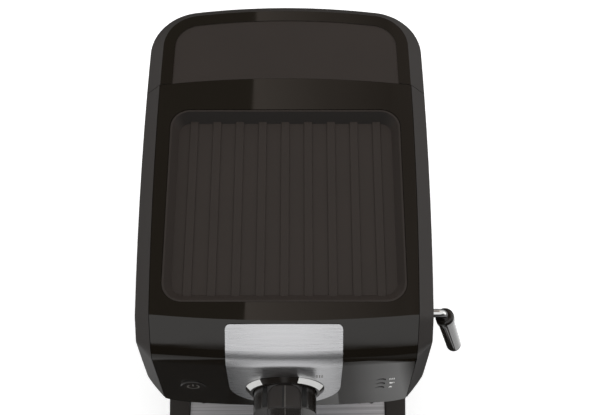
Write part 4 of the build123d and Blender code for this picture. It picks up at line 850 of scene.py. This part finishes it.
# Water tank behind the head
# Clear smoke-grey SAN, injection moulded in one piece; it lifts out with the lid and the valve in its floor.
# The walls are glossy, with a trace of limescale haze in patches of 25 mm.
smoke_san, tree = new_material("Clear smoke SAN")
position = place(tree, "ShaderNodeTexCoord").outputs["Object"]
scale = place(tree, "ShaderNodeTexNoise", {"Vector": position, "Scale": 1 / (25 * MM), "Detail": 5.0})
tone = place(tree, "ShaderNodeValToRGB", {"Fac": scale.outputs["Fac"]})
tone.color_ramp.elements[0].color = colour("#8f9497")
tone.color_ramp.elements[1].color = colour("#a3a7a9")
fog = place(tree, "ShaderNodeMapRange", {"Value": scale.outputs["Fac"], "To Min": 0.03, "To Max": 0.14})
skin = place(
    tree,
    "ShaderNodeBsdfPrincipled",
    {
        "Base Color": tone.outputs["Color"],
        "Roughness": fog.outputs["Result"],
        "IOR": 1.57,
        "Transmission Weight": 0.92,
    },
)
place(tree, "ShaderNodeOutputMaterial", {"Surface": skin.outputs["BSDF"]})
dress(smoke_san, "water_tank")

# Level lines on the tank
# Lines pad-printed in the white ink 20 mm apart on its front wall, longer at the lowest and highest filling.
tank_low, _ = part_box("water_tank")
level_x = tank_low[0] + 24 * MM
level_front = tank_low[1] - print_proud
level_back = tank_low[1] + 0.2 * MM
level_first = tank_low[2] + 26 * MM
level_pitch = 20 * MM
level_line = 1.0 * MM
level_last = 6
long_line = 22 * MM
short_line = 11 * MM
upright = 0.9 * MM
level_bars = []
for step in range(level_last + 1):
    z = level_first + level_pitch * step
    length = long_line if step in (0, level_last) else short_line
    level_bars.append(((level_x, level_front, z), (level_x + length, level_back, z + level_line)))
level_top = level_first + level_pitch * level_last + level_line
level_bars.append(((level_x, level_front, level_first), (level_x + upright, level_back, level_top)))
mesh_piece("tank_levels", *bars(level_bars), ink, "tank", "ceramic_white")

# Steam tube, its tip and the filter holder
# Brass, turned or cast, then polished and chrome plated: mirror bright with faint wipe marks of 9 mm.
# A plated ferrule closes the end of the handle where it meets the holder's neck.
chrome, tree = new_material("Chrome plate")
position = place(tree, "ShaderNodeTexCoord").outputs["Object"]
wipes = place(tree, "ShaderNodeTexNoise", {"Vector": position, "Scale": 1 / (9 * MM), "Detail": 5.0})
tone = place(tree, "ShaderNodeValToRGB", {"Fac": wipes.outputs["Fac"]})
tone.color_ramp.elements[0].color = colour("#d8d8d7")
tone.color_ramp.elements[1].color = colour("#e2e2e1")
shine = place(tree, "ShaderNodeMapRange", {"Value": wipes.outputs["Fac"], "To Min": 0.03, "To Max": 0.10})
skin = place(
    tree,
    "ShaderNodeBsdfPrincipled",
    {"Base Color": tone.outputs["Color"], "Metallic": 1.0, "Roughness": shine.outputs["Result"]},
)
place(tree, "ShaderNodeOutputMaterial", {"Surface": skin.outputs["BSDF"]})
dress(chrome, "steam_tube", "steam_tip", "filter_holder")

handle_low, handle_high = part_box("holder_handle")
handle_z = (handle_low[2] + handle_high[2]) / 2
ferrule_profile = [(8.5, 0.1), (9.4, 0.1), (9.8, 0.6), (9.8, 4.6), (9.6, 5.2), (8.5, 5.2)]
ferrule_steps = 64
ferrule_points = []
for i in range(ferrule_steps):
    turn = 2 * pi * i / ferrule_steps
    for radius, depth in ferrule_profile:
        ferrule_points.append(
            (radius * MM * cos(turn), handle_high[1] - depth * MM, handle_z + radius * MM * sin(turn))
        )
count = len(ferrule_profile)
ferrule_faces = []
for i in range(ferrule_steps):
    for j in range(count):
        k = (j + 1) % count
        n = (i + 1) % ferrule_steps
        ferrule_faces.append((i * count + j, i * count + k, n * count + k, n * count + j))
ferrule = mesh_piece("handle_ferrule", ferrule_points, ferrule_faces, chrome, "holder", "chrome_plate")
bevel = ferrule.modifiers.new("edge", "BEVEL")
bevel.width = 0.15 * MM
bevel.segments = 2
for face in ferrule.data.polygons:
    face.use_smooth = True

# Studio
# A white paper floor that keeps the shadow, soft light from all round and one lamp above the back.
# Reflector cards, which only shiny surfaces see, draw the lights and darks on gloss black, steel and chrome.
floor_half = 4.0
floor_mesh = bpy.data.meshes.new("floor")
floor_mesh.from_pydata(
    [(x * floor_half, y * floor_half, 0) for x, y in ((-1, -1), (1, -1), (1, 1), (-1, 1))],
    [],
    [(0, 1, 2, 3)],
)
floor = bpy.data.objects.new("floor", floor_mesh)
bpy.context.scene.collection.objects.link(floor)


def background_seen(tree):
    """1 on rays that show the background, and 0 on rays by which it lights the machine."""
    path = place(tree, "ShaderNodeLightPath").outputs
    direct = place(
        tree,
        "ShaderNodeMath",
        {0: path["Is Camera Ray"], 1: path["Is Glossy Ray"]},
        operation="MAXIMUM",
    )
    either = place(
        tree,
        "ShaderNodeMath",
        {0: direct.outputs[0], 1: path["Is Transmission Ray"]},
        operation="MAXIMUM",
    )
    return either.outputs[0]


# Uncoated white paper: matte, and as light as the background where it is seen.
paper, tree = new_material("White paper")
glow = place(tree, "ShaderNodeMath", {0: background_seen(tree), 1: 0.5}, operation="MULTIPLY")
skin = place(
    tree,
    "ShaderNodeBsdfPrincipled",
    {
        "Base Color": colour("#f4f4f4"),
        "Roughness": 0.9,
        "Emission Color": colour("#ffffff"),
        "Emission Strength": glow.outputs[0],
    },
)
place(tree, "ShaderNodeOutputMaterial", {"Surface": skin.outputs["BSDF"]})
floor_mesh.materials.append(paper)

world = bpy.data.worlds.new("studio")
bpy.context.scene.world = world
world.use_nodes = True
tree = world.node_tree
tree.nodes.clear()
level = place(tree, "ShaderNodeMapRange", {"Value": background_seen(tree), "To Min": 0.7, "To Max": 1.0})
sky = place(tree, "ShaderNodeBackground", {"Color": colour("#ffffff"), "Strength": level.outputs["Result"]})
place(tree, "ShaderNodeOutputWorld", {"Surface": sky.outputs["Background"]})

lamp = bpy.data.lights.new("key_lamp", "AREA")
lamp.energy = 6.0
lamp.size = 0.9
key = bpy.data.objects.new("key_lamp", lamp)
key.location = (0.1, 0.65, 1.4)
aim = Vector((0, 0, 0.2))
key.rotation_euler = (aim - Vector(key.location)).to_track_quat("-Z", "Y").to_euler()
key.visible_glossy = False
bpy.context.scene.collection.objects.link(key)


def card(name, rows, strengths, tint="#ffffff", for_nodes=()):
    """A card in rows of points, each with a brightness, seen by all shiny surfaces or by the given nodes."""
    points, faces = grid(rows)
    mesh = bpy.data.meshes.new(name)
    mesh.from_pydata(points, [], faces)
    shade = mesh.color_attributes.new("shade", "FLOAT_COLOR", "POINT")
    for i, strength in enumerate([value for row in strengths for value in row]):
        shade.data[i].color = [strength * part for part in colour(tint)]
    material, tree = new_material(name)
    value = place(tree, "ShaderNodeVertexColor", layer_name="shade")
    light = place(tree, "ShaderNodeEmission", {"Color": value.outputs["Color"], "Strength": 1.0})
    place(tree, "ShaderNodeOutputMaterial", {"Surface": light.outputs["Emission"]})
    mesh.materials.append(material)
    piece = bpy.data.objects.new(name, mesh)
    piece.visible_camera = False
    piece.visible_diffuse = False
    piece.visible_shadow = False
    bpy.context.scene.collection.objects.link(piece)
    if for_nodes:
        lit = bpy.data.collections.new(name)
        for node in for_nodes:
            lit.objects.link(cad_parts[node])
        piece.light_linking.receiver_collection = lit


# Overhead, a dark flag at the left and a softbox that fades to the right, with a gap above the wand
ceiling = 1.2
near, middle, far = 0.05, 0.5, 1.4
edge_near, edge_middle, edge_far = -0.0743, -0.0675, -0.0538
flag_x = (-1.2, -0.4)
softbox_x = (0.056, 0.156, 0.2, 0.32, 0.36, 0.6)
card(
    "ceiling_flag",
    [[(x, y, ceiling) for x in (*flag_x, edge)] for edge, y in ((edge_near, near), (edge_far, far))],
    [[0.8, 0.12, 0.12], [0.8, 0.12, 0.12]],
    "#fff6e4",
)
card(
    "ceiling_softbox",
    [
        [(x, y, ceiling) for x in (edge, *softbox_x)]
        for edge, y in ((edge_near, near), (edge_middle, middle), (edge_far, far))
    ],
    [
        [0.84, 0.52, 0.27, 0.06, 0.06, 0.7, 0.9],
        [0.75, 0.40, 0.21, 0.25, 0.40, 0.6, 0.9],
        [0.62, 0.24, 0.14, 0.35, 0.50, 0.6, 0.9],
    ],
    "#fff1e6",
)

# Walls all round: black in front, dark behind, light at the left and lightest at the right
wall_radius = 2.5
wall_top = 1.75
wall_shades = [
    (0, 1.6),
    (30, 1.0),
    (60, 0.4),
    (90, 0.12),
    (135, 1.1),
    (180, 0.9),
    (225, 0.4),
    (240, 0.03),
    (300, 0.03),
    (330, 0.1),
    (360, 1.6),
]
wall_turns = [radians(turn) for turn, shade in wall_shades]
wall_row = [shade for turn, shade in wall_shades]
card(
    "walls",
    [[(wall_radius * cos(t), wall_radius * sin(t), z) for t in wall_turns] for z in (0.0, wall_top)],
    [wall_row, wall_row],
)

# In front, a bright card that only the plate's upper bend mirrors
plate_card_y = -1.3
card(
    "plate_card",
    [[(x, plate_card_y, z) for x in (-0.15, 0.11)] for z in (0.2, 0.6, 0.9, 1.7)],
    [[0.15, 0.15], [0.3, 0.3], [0.95, 0.95], [1.05, 1.05]],
)

# Table: a black cloth with grey boards at both sides
cloth_z = 1 * MM
board_z = 2 * MM
strip_z = 3 * MM
line_z = 4 * MM
reach = 2.6
card(
    "table_cloth",
    [[(x, y, cloth_z) for x in (-reach, reach)] for y in (-reach, 0.15, reach)],
    [[0.03, 0.03], [0.03, 0.03], [0.1, 0.1]],
)
card(
    "left_board",
    [[(x, y, board_z) for x in (-reach, -0.17, -0.145)] for y in (-reach, -0.22, 0.15)],
    [[0.4, 0.4, 0.03], [0.6, 0.6, 0.03], [0.3, 0.2, 0.03]],
)
card(
    "right_board",
    [[(x, y, board_z) for x in (0.14, 0.24, reach)] for y in (-reach, 0.0, reach)],
    [[0.03, 0.2, 0.2], [0.05, 0.2, 0.2], [0.2, 0.3, 0.3]],
)

# Strip in front that the plate mirrors: it widens away from the camera's place and fades towards the machine
eye_x = 0.0103
strip_left = -0.058
strip_right = 0.049
strip_near = -0.145
spread = 2.97
card(
    "plate_strip",
    [[(eye_x + (x - eye_x) * spread, -reach, strip_z) for x in (strip_left, strip_right)]]
    + [[(x, y, strip_z) for x in (strip_left, strip_right)] for y in (-0.335, -0.25, -0.205, strip_near)],
    [[0.65, 0.65], [0.65, 0.7], [0.1, 0.75], [0.02, 0.5], [0.02, 0.1]],
)

# Strip at the right that the gloss front mirrors, with a sharp far edge that slants away to the right
strip_x = (strip_right, 0.064, 0.086, 0.112, 0.128)
strip_far = -0.46
slant = 1.1
card(
    "front_strip",
    [[(x, strip_far - slant * (x - strip_right), strip_z) for x in strip_x]]
    + [[(x, y, strip_z) for x in strip_x] for y in (-0.2, strip_near)],
    [[0.2, 0.25, 0.46, 0.68, 0.1], [0.2, 0.26, 0.5, 0.65, 0.1], [0.15, 0.2, 0.3, 0.4, 0.1]],
)

# A bright board and a narrow strip beside the wand, which draw the sleeve's light side and the line along it
board_edge = ((0.186, -0.19), (0.178, -0.09), (0.178, 0.02))
board_right = 0.30
card(
    "wand_board",
    [[(x, y, strip_z), (board_right, y, strip_z)] for x, y in board_edge],
    [[1.4, 1.4], [1.4, 1.4], [1.4, 1.4]],
    for_nodes=("froth_sleeve",),
)
card(
    "wand_strip",
    [
        [(0.123, -0.169, line_z), (0.150, -0.180, line_z)],
        [(0.155, -0.1535, line_z), (0.170, -0.155, line_z)],
    ],
    [[0.9, 0.9], [0.9, 0.9]],
    for_nodes=("froth_sleeve",),
)

# A board in front of the wand that lights the corner of the right cover
card(
    "corner_board",
    [[(x, y, strip_z) for x in (0.13, 0.4)] for y in (-0.45, -0.195)],
    [[1.6, 1.6], [1.6, 1.6]],
    for_nodes=("right_side_cover",),
)

# Camera in front of the machine and well above it, looking steeply down
scene = bpy.context.scene
eye_y = -0.382
eye_z = 0.995
eye_tilt = 26.5
lens = bpy.data.cameras.new("camera")
lens.lens = 69.48
lens.sensor_width = 36.0
camera = bpy.data.objects.new("camera", lens)
camera.location = (eye_x, eye_y, eye_z)
camera.rotation_euler = (radians(eye_tilt), 0, 0)
scene.collection.objects.link(camera)
scene.camera = camera
scene.view_settings.view_transform = "Standard"
